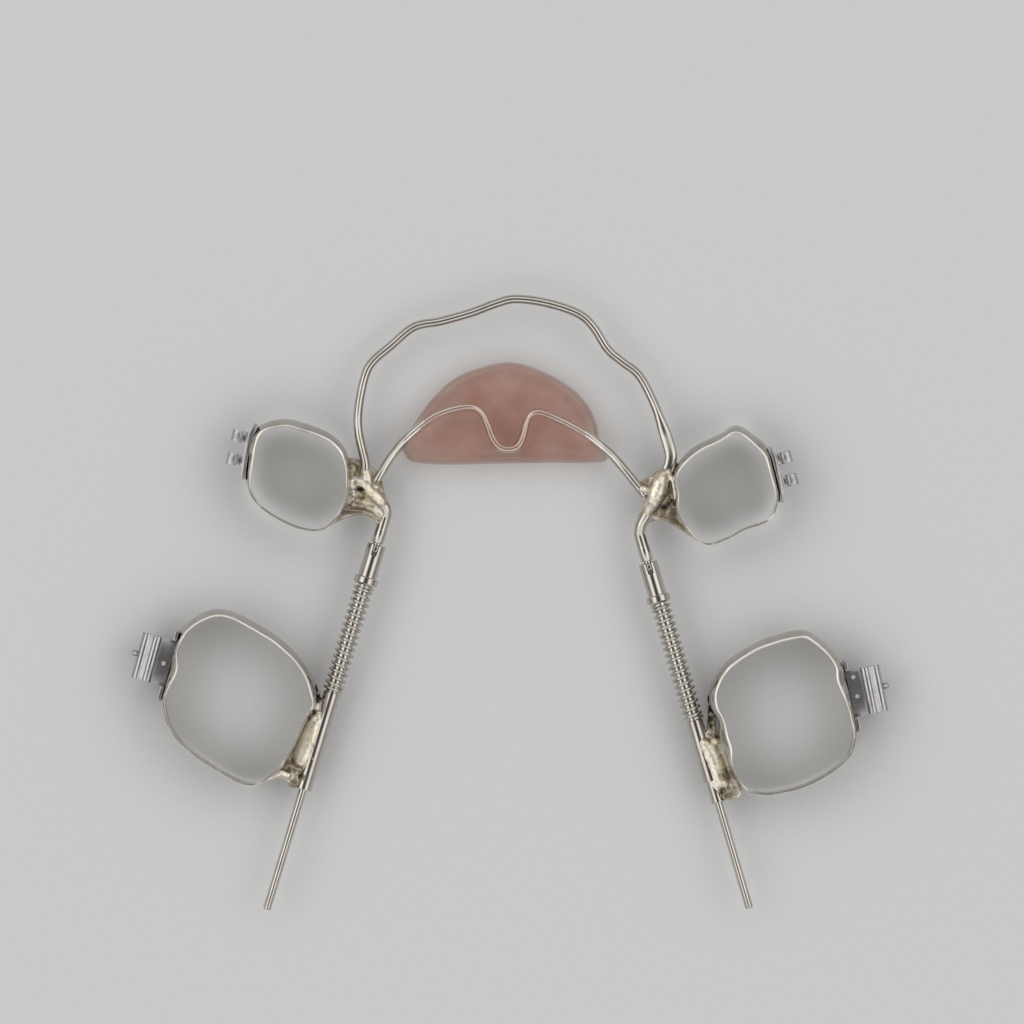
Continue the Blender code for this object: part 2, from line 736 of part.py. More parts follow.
def make_sleeve(side, collection, cutters):
    """The slotted sleeve with its flange, on which the spring seats."""
    name = f"spring_sleeve_{side.name}"
    outer, flange = SLEEVE_DIAMETER / 2, FLANGE_DIAMETER / 2
    socket = ARM_NECK_DIAMETER / 2 + SEAT_GAP
    socket_end = -SLEEVE_LENGTH + max(ARM_PLUG_LENGTH, SLOT_LENGTH) + SEAT_GAP
    guide_bore = GUIDE_DIAMETER / 2 + SEAT_GAP
    guide_bottom = -GUIDE_SEAT_DEPTH - SEAT_GAP
    profile = (
        (flange - FLANGE_CHAMFER, 0.0),
        (flange, -FLANGE_CHAMFER),
        (flange, -FLANGE_THICKNESS),
        (outer, -FLANGE_THICKNESS),
        (outer, -SLEEVE_LENGTH + SLEEVE_CHAMFER),
        (outer - SLEEVE_CHAMFER, -SLEEVE_LENGTH),
        (socket, -SLEEVE_LENGTH),
        (socket, socket_end),
        (0.0, socket_end),
        (0.0, guide_bottom),
        (guide_bore, guide_bottom),
        (guide_bore, 0.0),
    )
    frame = telescope_frame(side)
    sleeve = turned_object(name, profile, frame, collection, STAINLESS)
    width = KEY_WIDTH + 2 * SEAT_GAP
    size = (outer, width, SLOT_LENGTH * 2)
    centre = Vector((socket / 2 + outer / 2, 0.0, -SLEEVE_LENGTH))
    cut(sleeve, box_object(f"{name}_slot", size, centre, frame, cutters))
    return sleeve


def make_guide(side, collection):
    """The guide tube, fixed in the sleeve, and the thin rod fixed in it."""
    frame = telescope_frame(side)
    bore = ROD_DIAMETER / 2 + SEAT_GAP
    profile = tube_profile(GUIDE_DIAMETER / 2, bore, -GUIDE_SEAT_DEPTH, guide_end(side))
    guide = turned_object(f"guide_tube_{side.name}", profile, frame, collection, STAINLESS)
    radius = ROD_DIAMETER / 2
    rounding = radius / 3
    rod_profile = (
        (0.0, side.rod_length),
        (radius - rounding, side.rod_length),
        (radius, side.rod_length - rounding),
        (radius, -GUIDE_SEAT_DEPTH + SEAT_GAP),
        (0.0, -GUIDE_SEAT_DEPTH + SEAT_GAP),
    )
    rod = turned_object(
        f"guide_rod_{side.name}", rod_profile, frame, collection, STAINLESS, closed=False
    )
    return guide, rod


def spring_path(side):
    """The points of the coil: closed turns at both ends, open turns between them."""
    wire = SPRING_WIRE_DIAMETER
    length = side.spring_length - 2 * SEAT_GAP - wire
    open_turns = side.spring_turns - 2
    open_pitch = (length - 2 * SPRING_END_PITCH) / open_turns
    radius = (SPRING_OUTER_DIAMETER - wire) / 2
    frame = telescope_frame(side)
    count = round(side.spring_turns * SPRING_POINTS_PER_TURN)
    points = []
    for index in range(count + 1):
        turn = side.spring_turns * index / count
        first = min(turn, 1.0) * SPRING_END_PITCH
        middle = min(max(turn - 1.0, 0.0), open_turns) * open_pitch
        last = max(turn - 1.0 - open_turns, 0.0) * SPRING_END_PITCH
        angle = 2 * math.pi * turn * side.sign
        place = SEAT_GAP + wire / 2 + first + middle + last
        points.append(frame @ Vector((radius * math.cos(angle), radius * math.sin(angle), place)))
    return points


def make_spring(side, collection):
    """The open coil spring between the flange and the palatal tube."""
    name = f"coil_spring_{side.name}"
    mesh = wire_mesh(name, spring_path(side), SPRING_WIRE_DIAMETER / 2, resolution=1)
    return add_object(name, mesh, collection, SPRING_STEEL)


def make_palatal_tube(side, collection, cutters):
    """The tube that slides on the guide tube, and the room that its solder leaves round it."""
    frame = telescope_frame(side, tube_start(side))
    bore = GUIDE_DIAMETER / 2 + RUNNING_CLEARANCE
    outer = bore + TUBE_WALL
    profile = tube_profile(outer, bore, 0.0, side.tube_length)
    tube = turned_object(f"palatal_tube_{side.name}", profile, frame, collection, STAINLESS)
    reach = outer + SOLDER_GAP
    room_end = side.tube_length + CUTTER_OVERRUN
    room_profile = (
        (0.0, room_end),
        (reach, room_end),
        (reach, -CUTTER_OVERRUN),
        (0.0, -CUTTER_OVERRUN),
    )
    room = turned_object(
        f"palatal_tube_{side.name}_room", room_profile, frame, cutters, closed=False
    )
    return tube, room


# Attachments on the cheek side

def wall_frame(place, along):
    """A frame on a wall: local X points away from it, local Y is up, local Z runs along it."""
    up = Vector((0.0, 0.0, 1.0))
    out = up.cross(along).normalized()
    return Matrix.Translation(place) @ Matrix((out, up, along)).transposed().to_4x4()


def wing_section():
    """One tie wing's section: a stem, two hooked wings and the archwire slot, as (out, up)."""
    face = BRACKET_PAD_THICKNESS + BRACKET_DEPTH
    tip = BRACKET_HEIGHT / 2
    floor = face - ARCHWIRE_SLOT_DEPTH
    slot = ARCHWIRE_SLOT / 2
    upper = [(face, slot)]
    for out_share, up_share in WING_SHAPE:
        upper.append((BRACKET_PAD_THICKNESS + BRACKET_DEPTH * out_share, tip * up_share))
    upper.append((BRACKET_PAD_THICKNESS / 2, upper[-1][1]))
    lower = [(out, -up) for out, up in reversed(upper)]
    return upper + lower + [(floor, -slot), (floor, slot)]


def make_bracket(side, outline, collection, cutters):
    """The twin bracket: a pad that follows the band, and two pairs of tie wings."""
    name = f"premolar_bracket_{side.name}"
    points, normals = outline
    middle = nearest(points, placed(side.bracket_place))
    normal = normals[middle]
    along = Vector((normal.y, -normal.x, 0.0))
    height = PREMOLAR_BAND_LIFT + PREMOLAR_BAND_HEIGHT / 2
    wall = points[middle] + normal * (BAND_WALL + belly(normal) + WELD_GAP)
    frame = wall_frame(Vector((*wall, height)), along)
    pad = pad_mesh(f"{name}_pad", outline, middle)
    bracket = add_object(name, pad, collection, CAST_STEEL, Matrix.Translation((0, 0, height)))
    for index, place in enumerate((-1, 1)):
        wing = plate_mesh(f"{name}_wing_{index}", [wing_section()], BRACKET_WING_LENGTH)
        shift = Matrix.Translation((0.0, 0.0, place * BRACKET_WING_SPACING / 2))
        join(bracket, add_object(f"{name}_wing_{index}", wing, cutters, None, frame @ shift))
    return bracket


def pad_mesh(name, outline, middle):
    """The pad's plan follows the band's wall; its thickness is the pad's height."""
    points, normals = outline
    spacing = (points[1] - points[0]).length
    steps = 3
    inner = []
    outer = []
    for step in range(-steps, steps + 1):
        travel = (step / steps * BRACKET_PAD_LENGTH / 2 - BRACKET_PAD_SHIFT) / spacing
        before = math.floor(travel)
        share = travel - before
        first = (middle + before) % len(points)
        second = (first + 1) % len(points)
        point = points[first].lerp(points[second], share)
        normal = normals[first].lerp(normals[second], share).normalized()
        near = BAND_WALL + belly(normal) + WELD_GAP
        inner.append(point + normal * near)
        outer.append(point + normal * (near + BRACKET_PAD_THICKNESS))
    return plate_mesh(name, [inner + outer[::-1]], BRACKET_PAD_HEIGHT)


def arc(centre, radius, start, end, steps):
    """Points on an arc, its ends included, from one angle in degrees to another."""
    turns = [math.radians(start + (end - start) * index / steps) for index in range(steps + 1)]
    return [(centre[0] + radius * math.cos(t), centre[1] + radius * math.sin(t)) for t in turns]


def ridge_centres():
    """The middles of the two ridges on the body's biting side, in the body's section."""
    block = BUCCAL_PLATE_THICKNESS + BUCCAL_BLOCK_WIDTH
    standoff = RIDGE_RADIUS * RIDGE_STANDOFF_SHARE
    first = (block + standoff, BUCCAL_BLOCK_HEIGHT * RIDGE_LEVEL_SHARE)
    return first, (first[0] + RIDGE_SPACING, first[1] - RIDGE_RADIUS * RIDGE_DROP_SHARE)


def buccal_section():
    """The body's section: a flat block, then two ridges, with the archwire and bow bores."""
    root = BUCCAL_PLATE_THICKNESS / 2
    block = BUCCAL_PLATE_THICKNESS + BUCCAL_BLOCK_WIDTH
    high = BUCCAL_BLOCK_HEIGHT * BUCCAL_BLOCK_TOP_SHARE
    low = high - BUCCAL_BLOCK_HEIGHT
    first, second = ridge_centres()
    flank = second[0] + RIDGE_RADIUS
    foot_level, foot_inset = FLANK_FOOT_SHARES
    outer = [(root, low), (root, high), (block, high)]
    outer += arc(first, RIDGE_RADIUS, 150, 40, 5) + arc(second, RIDGE_RADIUS, 125, -10, 6)
    outer += [(flank, low * foot_level), (flank - RIDGE_RADIUS * foot_inset, low)]
    slot_centre = (BUCCAL_PLATE_THICKNESS + BUCCAL_BLOCK_WIDTH / 2, (low + high) / 2)
    bow_centre = ((first[0] + second[0]) / 2, (low + high) / 2)
    half_wide, half_high = ARCHWIRE_SLOT_DEPTH / 2, ARCHWIRE_SLOT / 2
    slot = [
        (slot_centre[0] - half_wide, slot_centre[1] - half_high),
        (slot_centre[0] + half_wide, slot_centre[1] - half_high),
        (slot_centre[0] + half_wide, slot_centre[1] + half_high),
        (slot_centre[0] - half_wide, slot_centre[1] + half_high),
    ]
    return [outer, slot, arc(bow_centre, HEADGEAR_BORE_DIAMETER / 2, 0, 330, 11)]


def buccal_frame(side, outline):
    """The buccal tube's frame: its plate lies against the widest place of the band's wall."""
    angle = math.radians(side.buccal_heading)
    along = Vector((math.cos(angle), math.sin(angle), 0.0)) * side.sign
    out = Vector((-along.y, along.x))
    middle = placed(side.buccal_place)
    beside = [
        (point + normal * belly(normal) - middle).dot(out)
        for point, normal in zip(*outline)
        if (point - middle).length < BUCCAL_PLATE_LENGTH / 2 + MM
    ]
    place = middle + out * (max(beside) + BAND_WALL + WELD_GAP - BUCCAL_PLATE_BEDDING)
    return wall_frame(Vector((*place, BUCCAL_TUBE_HEIGHT)), along)


def make_buccal_tube(side, outline, band, collection, cutters):
    """The buccal tube: plate, body with its bores, and ball hook, bedded on the band's wall."""
    name = f"buccal_tube_{side.name}"
    frame = buccal_frame(side, outline)
    size = (BUCCAL_PLATE_THICKNESS, BUCCAL_PLATE_HEIGHT, BUCCAL_PLATE_LENGTH)
    centre = Vector((BUCCAL_PLATE_THICKNESS / 2, 0.0, 0.0))
    tube = box_object(name, size, centre, frame, collection, CAST_STEEL)
    body = plate_mesh(f"{name}_body", buccal_section(), BUCCAL_BODY_LENGTH)
    shift = Matrix.Translation((0.0, 0.0, -side.sign * BUCCAL_BODY_SHIFT))
    join(tube, add_object(f"{name}_body", body, cutters, None, frame @ shift))
    join(tube, make_hook(name, side, frame, cutters))
    cut(tube, band)
    return tube


def make_hook(name, side, frame, cutters):
    """The ball hook: a short stem out of the outer ridge's flank, with a ball on it."""
    ridge = ridge_centres()[1]
    reach = ridge[0] + RIDGE_RADIUS
    ball = HOOK_BALL_DIAMETER / 2
    stem = HOOK_STEM_DIAMETER / 2
    root = reach - RIDGE_RADIUS / 2
    centre = reach + HOOK_REACH
    touch = math.asin(stem / ball)
    profile = [(0.0, centre + ball)]
    for index in range(1, 5):
        turn = index / 4 * (math.pi - touch)
        profile.append((ball * math.sin(turn), centre + ball * math.cos(turn)))
    profile += [(stem, root), (0.0, root)]
    out = frame @ Matrix.Translation((0.0, ridge[1], -side.sign * HOOK_SHIFT))
    turned = out @ Matrix.Rotation(math.radians(90), 4, "Y")
    hook = turned_object(f"{name}_hook", profile, turned, cutters, closed=False)
    hook.modifiers["Turn"].steps = 8
    hook.modifiers["Turn"].render_steps = 8
    return hook


# The whole appliance

def make_side(side, wires, collection, cutters):
    """All the pieces of one side, hung on their carriers."""
    telescope = bpy.data.objects.new(f"telescope_{side.name}", None)
    molar_unit = bpy.data.objects.new(f"molar_unit_{side.name}", None)
    for carrier, along in ((telescope, 0.0), (molar_unit, tube_start(side))):
        carrier.empty_display_size = 2 * MM
        collection.objects.link(carrier)
        carrier.matrix_world = telescope_frame(side, along)

    premolar = closed_outline(in_metres(side.premolar_knots), PREMOLAR_BAND_SAMPLES)
    molar = closed_outline(in_metres(side.molar_knots), MOLAR_BAND_SAMPLES)
    premolar_top = PREMOLAR_BAND_LIFT + PREMOLAR_BAND_HEIGHT
    premolar_span = (PREMOLAR_BAND_LIFT, premolar_top)
    molar_span = (0.0, MOLAR_BAND_HEIGHT)

    fixed = [make_band(f"premolar_band_{side.name}", premolar, *premolar_span, collection)]
    name = f"premolar_band_{side.name}_room"
    room = band_room(name, premolar, *premolar_span, SOLDER_GAP, cutters)
    fixed.append(make_bracket(side, premolar, collection, cutters))
    arm, arm_room = make_arm(side, collection, cutters)
    fixed += [arm, make_premolar_solder(side, [room, arm_room] + wires, collection)]
    fixed += [make_sleeve(side, collection, cutters), make_spring(side, collection)]
    fixed += make_guide(side, collection)

    sliding = [make_band(f"molar_band_{side.name}", molar, *molar_span, collection)]
    name = f"molar_band_{side.name}_room"
    room = band_room(name, molar, *molar_span, SOLDER_GAP, cutters)
    bed = band_room(f"{name}_bed", molar, *molar_span, WELD_GAP, cutters)
    tube, tube_room = make_palatal_tube(side, collection, cutters)
    sliding += [tube, make_molar_solder(side, molar[0], [room, tube_room], collection)]
    sliding.append(make_buccal_tube(side, molar, bed, collection, cutters))

    for piece in fixed:
        attach(piece, telescope)
    for piece in sliding:
        attach(piece, molar_unit)


def main():
    for leftover in list(bpy.data.objects):
        bpy.data.objects.remove(leftover)
    collection = bpy.data.collections.new("molar_distalizer")
    cutters = bpy.data.collections.new("cutters")
    for group in (collection, cutters):
        bpy.context.scene.collection.children.link(group)

    arch = make_wire(
        "anterior_palatal_wire", ARCH_WIRE_KNOTS, ARCH_WIRE_DIAMETER, 30, SOLDER_GAP,
        collection, cutters,
    )
    nance = make_wire(
        "nance_wire", NANCE_WIRE_KNOTS, NANCE_WIRE_DIAMETER, 35, SOLDER_GAP, collection, cutters
    )
    make_button(nance[1], collection)
    for side in SIDES:
        make_side(side, [arch[1], nance[1]], collection, cutters)


main()
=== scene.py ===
"""The looks of the molar distalizer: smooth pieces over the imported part, finishes, light and camera.

Lengths are in metres, written in millimetres times MM, in the part's own frame: +X to the right and
+Y to the front as seen from the biting side, +Z towards the viewer.

A field that a class doesn't list is a plain size in metres, a share or a count; an edge is how wide
an edge is broken or rounded.
"""

import json
import logging
import math
from dataclasses import dataclass, field
from enum import Enum, StrEnum
from typing import Any, Iterable, Sequence

import bmesh
import bpy
from bmesh.types import BMesh, BMEdge, BMVert
from bpy.types import Material, Mesh, Node, NodeSocket, NodeTree, Object
from mathutils import Matrix, Vector, kdtree, noise
from mathutils.bvhtree import BVHTree

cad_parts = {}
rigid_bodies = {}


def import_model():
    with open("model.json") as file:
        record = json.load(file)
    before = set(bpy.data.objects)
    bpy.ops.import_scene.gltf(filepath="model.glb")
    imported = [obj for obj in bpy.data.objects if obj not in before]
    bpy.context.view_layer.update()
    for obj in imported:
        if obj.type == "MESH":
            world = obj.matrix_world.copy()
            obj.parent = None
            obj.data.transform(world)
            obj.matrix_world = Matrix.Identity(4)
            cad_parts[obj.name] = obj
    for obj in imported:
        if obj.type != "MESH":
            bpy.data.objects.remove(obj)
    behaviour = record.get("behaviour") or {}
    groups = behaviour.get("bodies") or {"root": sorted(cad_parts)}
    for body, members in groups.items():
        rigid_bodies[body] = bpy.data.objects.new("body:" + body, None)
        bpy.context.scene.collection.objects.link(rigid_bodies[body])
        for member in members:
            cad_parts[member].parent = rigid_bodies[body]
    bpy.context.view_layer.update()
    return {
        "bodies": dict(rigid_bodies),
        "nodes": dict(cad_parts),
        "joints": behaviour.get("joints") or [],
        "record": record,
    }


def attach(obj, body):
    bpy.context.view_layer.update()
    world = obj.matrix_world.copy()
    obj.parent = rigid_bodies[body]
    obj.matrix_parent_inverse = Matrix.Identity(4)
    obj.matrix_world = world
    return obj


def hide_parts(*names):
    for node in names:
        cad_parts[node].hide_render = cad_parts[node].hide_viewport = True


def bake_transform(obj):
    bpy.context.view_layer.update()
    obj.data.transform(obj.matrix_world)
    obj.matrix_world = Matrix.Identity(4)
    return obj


LOG = logging.getLogger("molar_distalizer")

MM = 0.001
UP = Vector((0.0, 0.0, 1.0)).freeze()
ANCHORAGE = "anchorage"
WELD_DISTANCE = 0.002 * MM
SEAM_DISTANCE = 0.0005 * MM
CURVE_STEPS = 24
TELESCOPE_HEIGHT = 2.5 * MM
PREMOLAR_BAND_SPAN = (1.0 * MM, 5.08 * MM)
MOLAR_BAND_SPAN = (0.01 * MM, 4.8 * MM)
PREMOLAR_SEED = 0.3
MOLAR_SEED = 0.7
PREMOLAR_WEB_SPAN = (2.15 * MM, 2.9 * MM)
MOLAR_WEB_SPAN = (1.45 * MM, 2.9 * MM)
SOLDER_TUBE_RADIUS = 0.63 * MM

Knots = tuple[tuple[float, ...], ...]
Spots = list[tuple[Vector, float]]
Ring = tuple[list[BMVert], list[BMEdge]]


class Handed(Enum):
    """Which side of the mouth a piece is on, as seen from the biting side."""

    LEFT = -1
    RIGHT = 1

    @property
    def word(self) -> str:
        """The side's name, as the part's nodes use it."""
        return self.name.lower()


class Slot(StrEnum):
    """The record's material slots of the pieces that ride on one body."""

    ACRYLIC = "acrylic_button"
    SOLDER = "silver_solder"
    STAINLESS = "stainless_steel"
    CAST = "cast_steel"


# Points along curves


def to_vectors(knots: Iterable[Sequence[float]]) -> list[Vector]:
    """Turns places in millimetres, (x, y) or (x, y, z), into vectors in metres."""
    return [Vector(knot) * MM for knot in knots]


def to_spots(rows: Knots) -> Spots:
    """Turns rows of a place and a radius in millimetres into vectors and radii in metres."""
    return [(Vector(row[:-1]) * MM, row[-1] * MM) for row in rows]


def curve_point(corners: Sequence[Vector], share: float) -> Vector:
    """Finds a point on the smooth stretch between the two middle corners.

    Args:
        corners: Four knots in a row.
        share: How far along the middle stretch, from 0 to 1.

    Returns:
        The point there.
    """
    before, start, end, after = corners
    square, cube = share * share, share**3
    return 0.5 * (
        2 * start
        + (end - before) * share
        + (2 * before - 5 * start + 4 * end - after) * square
        + (3 * start - before - 3 * end + after) * cube
    )


def smooth_points(knots: Sequence[Vector], count: int, closed: bool = False) -> list[Vector]:
    """Spaces points evenly along a smooth curve through the knots.

    Args:
        knots: The places that the curve passes through.
        count: How many points to give back.
        closed: Whether the curve runs back to its start.

    Returns:
        The points; a closed curve doesn't repeat its first one.
    """
    total = len(knots)
    dense: list[Vector] = []
    for span in range(total if closed else total - 1):
        picks = [span - 1, span, span + 1, span + 2]
        picks = [pick % total if closed else min(max(pick, 0), total - 1) for pick in picks]
        corners = [knots[pick] for pick in picks]
        dense += [curve_point(corners, step / CURVE_STEPS) for step in range(CURVE_STEPS)]
    dense.append(knots[0] if closed else knots[-1])
    return evenly_spaced(dense, count + 1)[:-1] if closed else evenly_spaced(dense, count)


def evenly_spaced(points: Sequence[Vector], count: int) -> list[Vector]:
    """Resamples a path at equal steps.

    Args:
        points: The path's corners.
        count: How many points to give back, the ends included.

    Returns:
        The points.
    """
    lengths = [0.0]
    for first, second in zip(points, points[1:]):
        lengths.append(lengths[-1] + (second - first).length)
    spaced = []
    place = 0
    for index in range(count):
        target = lengths[-1] * index / (count - 1)
        while place < len(points) - 2 and lengths[place + 1] < target:
            place += 1
        span = lengths[place + 1] - lengths[place]
        share = (target - lengths[place]) / span if span else 0.0
        spaced.append(points[place].lerp(points[place + 1], share))
    return spaced


def outward_normals(points: Sequence[Vector]) -> list[Vector]:
    """Finds which way out is at each point of a closed plan outline.

    Args:
        points: The outline in the plan.

    Returns:
        One unit vector a point.
    """
    count = len(points)
    area = sum(a.x * b.y - b.x * a.y for a, b in zip(points, [*points[1:], points[0]]))
    turn = 1 if area > 0 else -1
    normals = []
    for index in range(count):
        along = points[(index + 1) % count] - points[index - 1]
        normals.append(Vector((along.y, -along.x)).normalized() * turn)
    return normals


def arc(
    centre: Sequence[float], radius: float, start: float, end: float, steps: int
) -> list[tuple[float, float]]:
    """Draws an arc, its ends included, from one angle in degrees to another.

    Args:
        centre: Its centre.
        radius: Its radius.
        start: The first angle.
        end: The last angle.
        steps: How many steps it has.

    Returns:
        Its points.
    """
    turns = [math.radians(start + (end - start) * index / steps) for index in range(steps + 1)]
    return [(centre[0] + radius * math.cos(t), centre[1] + radius * math.sin(t)) for t in turns]


def eased(share: float) -> float:
    """Eases a share from 0 to 1 in and out."""
    share = min(max(share, 0.0), 1.0)
    return share * share * (3 - 2 * share)


def nearest_tree(places: Sequence[Vector]) -> kdtree.KDTree:
    """Makes a tree that finds the nearest of some places.

    Args:
        places: The places.

    Returns:
        The tree, which gives a place's number in the row.
    """
    tree = kdtree.KDTree(len(places))
    for index, place in enumerate(places):
        tree.insert(place, index)
    tree.balance()
    return tree


# Objects and meshes


def shade(mesh: Mesh, smooth_angle: float) -> None:
    """Shades a mesh smooth, apart from its edges sharper than an angle in degrees."""
    mesh.shade_smooth()
    mesh.set_sharp_from_angle(angle=math.radians(smooth_angle))


def new_object(name: str, bm: BMesh, smooth_angle: float = 40.0) -> Object:
    """Makes an object at the origin from a bmesh, smooth up to an angle.

    Args:
        name: The piece's name.
        bm: Its mesh, which is freed.
        smooth_angle: The sharpest angle in degrees that is still shaded smooth.

    Returns:
        The object, linked to the scene.
    """
    mesh = bpy.data.meshes.new(name)
    bm.to_mesh(mesh)
    bm.free()
    shade(mesh, smooth_angle)
    made = bpy.data.objects.new(name, mesh)
    bpy.context.scene.collection.objects.link(made)
    return made


def add_modifier(target: Object, kind: str, **settings: Any) -> None:
    """Adds a modifier with its settings.

    Args:
        target: The object that gets it.
        kind: The modifier's type.
        **settings: Its properties by name.
    """
    modifier = target.modifiers.new(kind.title(), kind)
    for name, value in settings.items():
        setattr(modifier, name, value)


def evaluated_mesh(target: Object) -> Mesh:
    """Makes a mesh of what an object's modifiers or its curve give.

    Args:
        target: The object.

    Returns:
        The new mesh.
    """
    bpy.context.view_layer.update()
    evaluated = target.evaluated_get(bpy.context.evaluated_depsgraph_get())
    return bpy.data.meshes.new_from_object(evaluated)


def bake(target: Object, smooth_angle: float) -> None:
    """Replaces an object's mesh by what its modifiers make of it.

    Args:
        target: The object, which then has no modifiers.
        smooth_angle: The sharpest angle in degrees that is still shaded smooth.
    """
    mesh = evaluated_mesh(target)
    target.modifiers.clear()
    target.data = mesh
    shade(mesh, smooth_angle)


def close_seams(bm: BMesh) -> None:
    """Joins the points that lie on one another, and turns the faces outwards."""
    bmesh.ops.remove_doubles(bm, verts=bm.verts, dist=SEAM_DISTANCE)
    bmesh.ops.recalc_face_normals(bm, faces=bm.faces)


def shift(bm: BMesh, by: Sequence[float]) -> None:
    """Moves a whole mesh by a distance in metres."""
    bmesh.ops.translate(bm, vec=by, verts=bm.verts)


def carry(bm: BMesh, frame: Matrix) -> None:
    """Moves a whole mesh from its own frame into the part's."""
    bmesh.ops.transform(bm, matrix=frame, verts=bm.verts)


def tube_bmesh(path: Sequence[Vector], radii: Sequence[float], sides: int) -> BMesh:
    """Sweeps a round section along a path and caps it.

    Args:
        path: The centre line in metres.
        radii: The radius at each point, in metres.
        sides: How many sides the section has, an even number.

    Returns:
        The closed tube.
    """
    curve = bpy.data.curves.new("sweep", "CURVE")
    curve.dimensions = "3D"
    curve.bevel_depth = max(radii)
    curve.bevel_resolution = sides // 2 - 2
    curve.use_fill_caps = True
    spline = curve.splines.new("POLY")
    spline.points.add(len(path) - 1)
    for point, place, radius in zip(spline.points, path, radii):
        point.co = (*place, 1.0)
        point.radius = radius / max(radii)
    guide = bpy.data.objects.new("sweep", curve)
    bpy.context.scene.collection.objects.link(guide)
    mesh = evaluated_mesh(guide)
    bm = bmesh.new()
    bm.from_mesh(mesh)
    bpy.data.objects.remove(guide)
    bpy.data.curves.remove(curve)
    bpy.data.meshes.remove(mesh)
    close_seams(bm)
    return bm


def turned_bmesh(
    profile: Sequence[Sequence[float]], closed: bool, steps: int = 64
) -> BMesh:
    """Turns a section round the local Z axis.

    Args:
        profile: (distance from the axis, place along it) in metres.
        closed: Whether the section's last point joins its first.
        steps: How many steps the full turn has.

    Returns:
        The turned body, its faces outwards.
    """
    bm = bmesh.new()
    verts = [bm.verts.new((radius, 0.0, place)) for radius, place in profile]
    pairs = list(zip(verts, verts[1:]))
    if closed:
        pairs.append((verts[-1], verts[0]))
    edges = [bm.edges.new(pair) for pair in pairs]
    bmesh.ops.spin(
        bm, geom=verts + edges, cent=(0, 0, 0), axis=(0, 0, 1), dvec=(0, 0, 0),
        angle=math.tau, steps=steps, use_merge=True,
    )
    close_seams(bm)
    return bm


def start_ring(bm: BMesh, places: Sequence[Sequence[float]]) -> Ring:
    """Draws a closed ring of edges.

    Args:
        bm: The mesh.
        places: The ring's points, in order.

    Returns:
        Its points, in order, and its edges.
    """
    verts = [bm.verts.new(place) for place in places]
    return verts, [bm.edges.new((verts[index - 1], verts[index])) for index in range(len(verts))]


def raise_ring(bm: BMesh, ring: Ring) -> Ring:
    """Adds a ring over a ring, joined to it by faces, for its points to be moved.

    Args:
        bm: The mesh.
        ring: The last ring.

    Returns:
        The new ring, its points in the same order.
    """
    raised = bmesh.ops.extrude_edge_only(bm, edges=ring[1])["geom"]
    tops = {item for item in raised if isinstance(item, BMVert)}
    edges = [item for item in raised if isinstance(item, BMEdge)]
    ordered = []
    for vert in ring[0]:
        others = [edge.other_vert(vert) for edge in vert.link_edges]
        ordered.append(next(other for other in others if other in tops))
    return ordered, [edge for edge in edges if edge.verts[0] in tops and edge.verts[1] in tops]


def plate_bmesh(outlines: Sequence[Sequence[Sequence[float]]], thickness: float) -> BMesh:
    """Makes a flat piece with holes, centred on its thickness.

    Args:
        outlines: The edge, then the holes, as (x, y) in metres.
        thickness: How thick it is, along local Z.

    Returns:
        The closed piece.
    """
    bm = bmesh.new()
    edges = []
    for outline in outlines:
        edges += start_ring(bm, [(x, y, -thickness / 2) for x, y in outline])[1]
    bmesh.ops.triangle_fill(bm, edges=edges, use_beauty=True)
    raised = bmesh.ops.extrude_face_region(bm, geom=bm.faces[:])
    lifted = [item for item in raised["geom"] if isinstance(item, BMVert)]
    bmesh.ops.translate(bm, vec=(0.0, 0.0, thickness), verts=lifted)
    bmesh.ops.recalc_face_normals(bm, faces=bm.faces)
    join_flat_faces(bm, 1.0)
    return bm


def box_bmesh(size: Sequence[float]) -> BMesh:
    """Makes a box round the origin.

    Args:
        size: Its sizes along local X, Y and Z, in metres.

    Returns:
        The box.
    """
    bm = bmesh.new()
    bmesh.ops.create_cube(bm, size=1.0)
    bmesh.ops.scale(bm, vec=size, verts=bm.verts)
    return bm


def join_flat_faces(bm: BMesh, angle: float) -> None:
    """Joins neighbouring faces that meet at less than an angle in degrees."""
    limit = math.radians(angle)
    bmesh.ops.dissolve_limit(bm, angle_limit=limit, verts=bm.verts, edges=bm.edges)


def round_edges(bm: BMesh, width: float, angle: float, segments: int) -> None:
    """Rounds every edge that is sharper than an angle.

    Args:
        bm: The mesh.
        width: How wide the rounding is, in metres.
        angle: The least angle in degrees between an edge's faces.
        segments: How many faces the rounding has.
    """
    sharp = [
        edge for edge in bm.edges
        if edge.is_manifold and edge.calc_face_angle(0.0) > math.radians(angle)
    ]
    bmesh.ops.bevel(
        bm, geom=sharp, offset=width, offset_type="OFFSET", affect="EDGES", segments=segments,
        profile=0.5, material=-1, clamp_overlap=True,
    )


def merge(bm: BMesh, other: BMesh) -> None:
    """Adds another mesh to a mesh.

    Args:
        bm: The mesh that grows.
        other: The mesh that goes into it, which is freed.
    """
    spare = bpy.data.meshes.new("spare")
    other.to_mesh(spare)
    other.free()
    bm.from_mesh(spare)
    bpy.data.meshes.remove(spare)


def cut_out(piece: Object, form: BMesh, smooth_angle: float) -> None:
    """Cuts a closed form out of a piece.

    Args:
        piece: The piece.
        form: The form, which is freed.
        smooth_angle: The sharpest angle in degrees that is still shaded smooth.
    """
    cutter = new_object("cutter", form)
    add_modifier(piece, "BOOLEAN", operation="DIFFERENCE", solver="EXACT", object=cutter)
    bake(piece, smooth_angle)
    bpy.data.objects.remove(cutter)


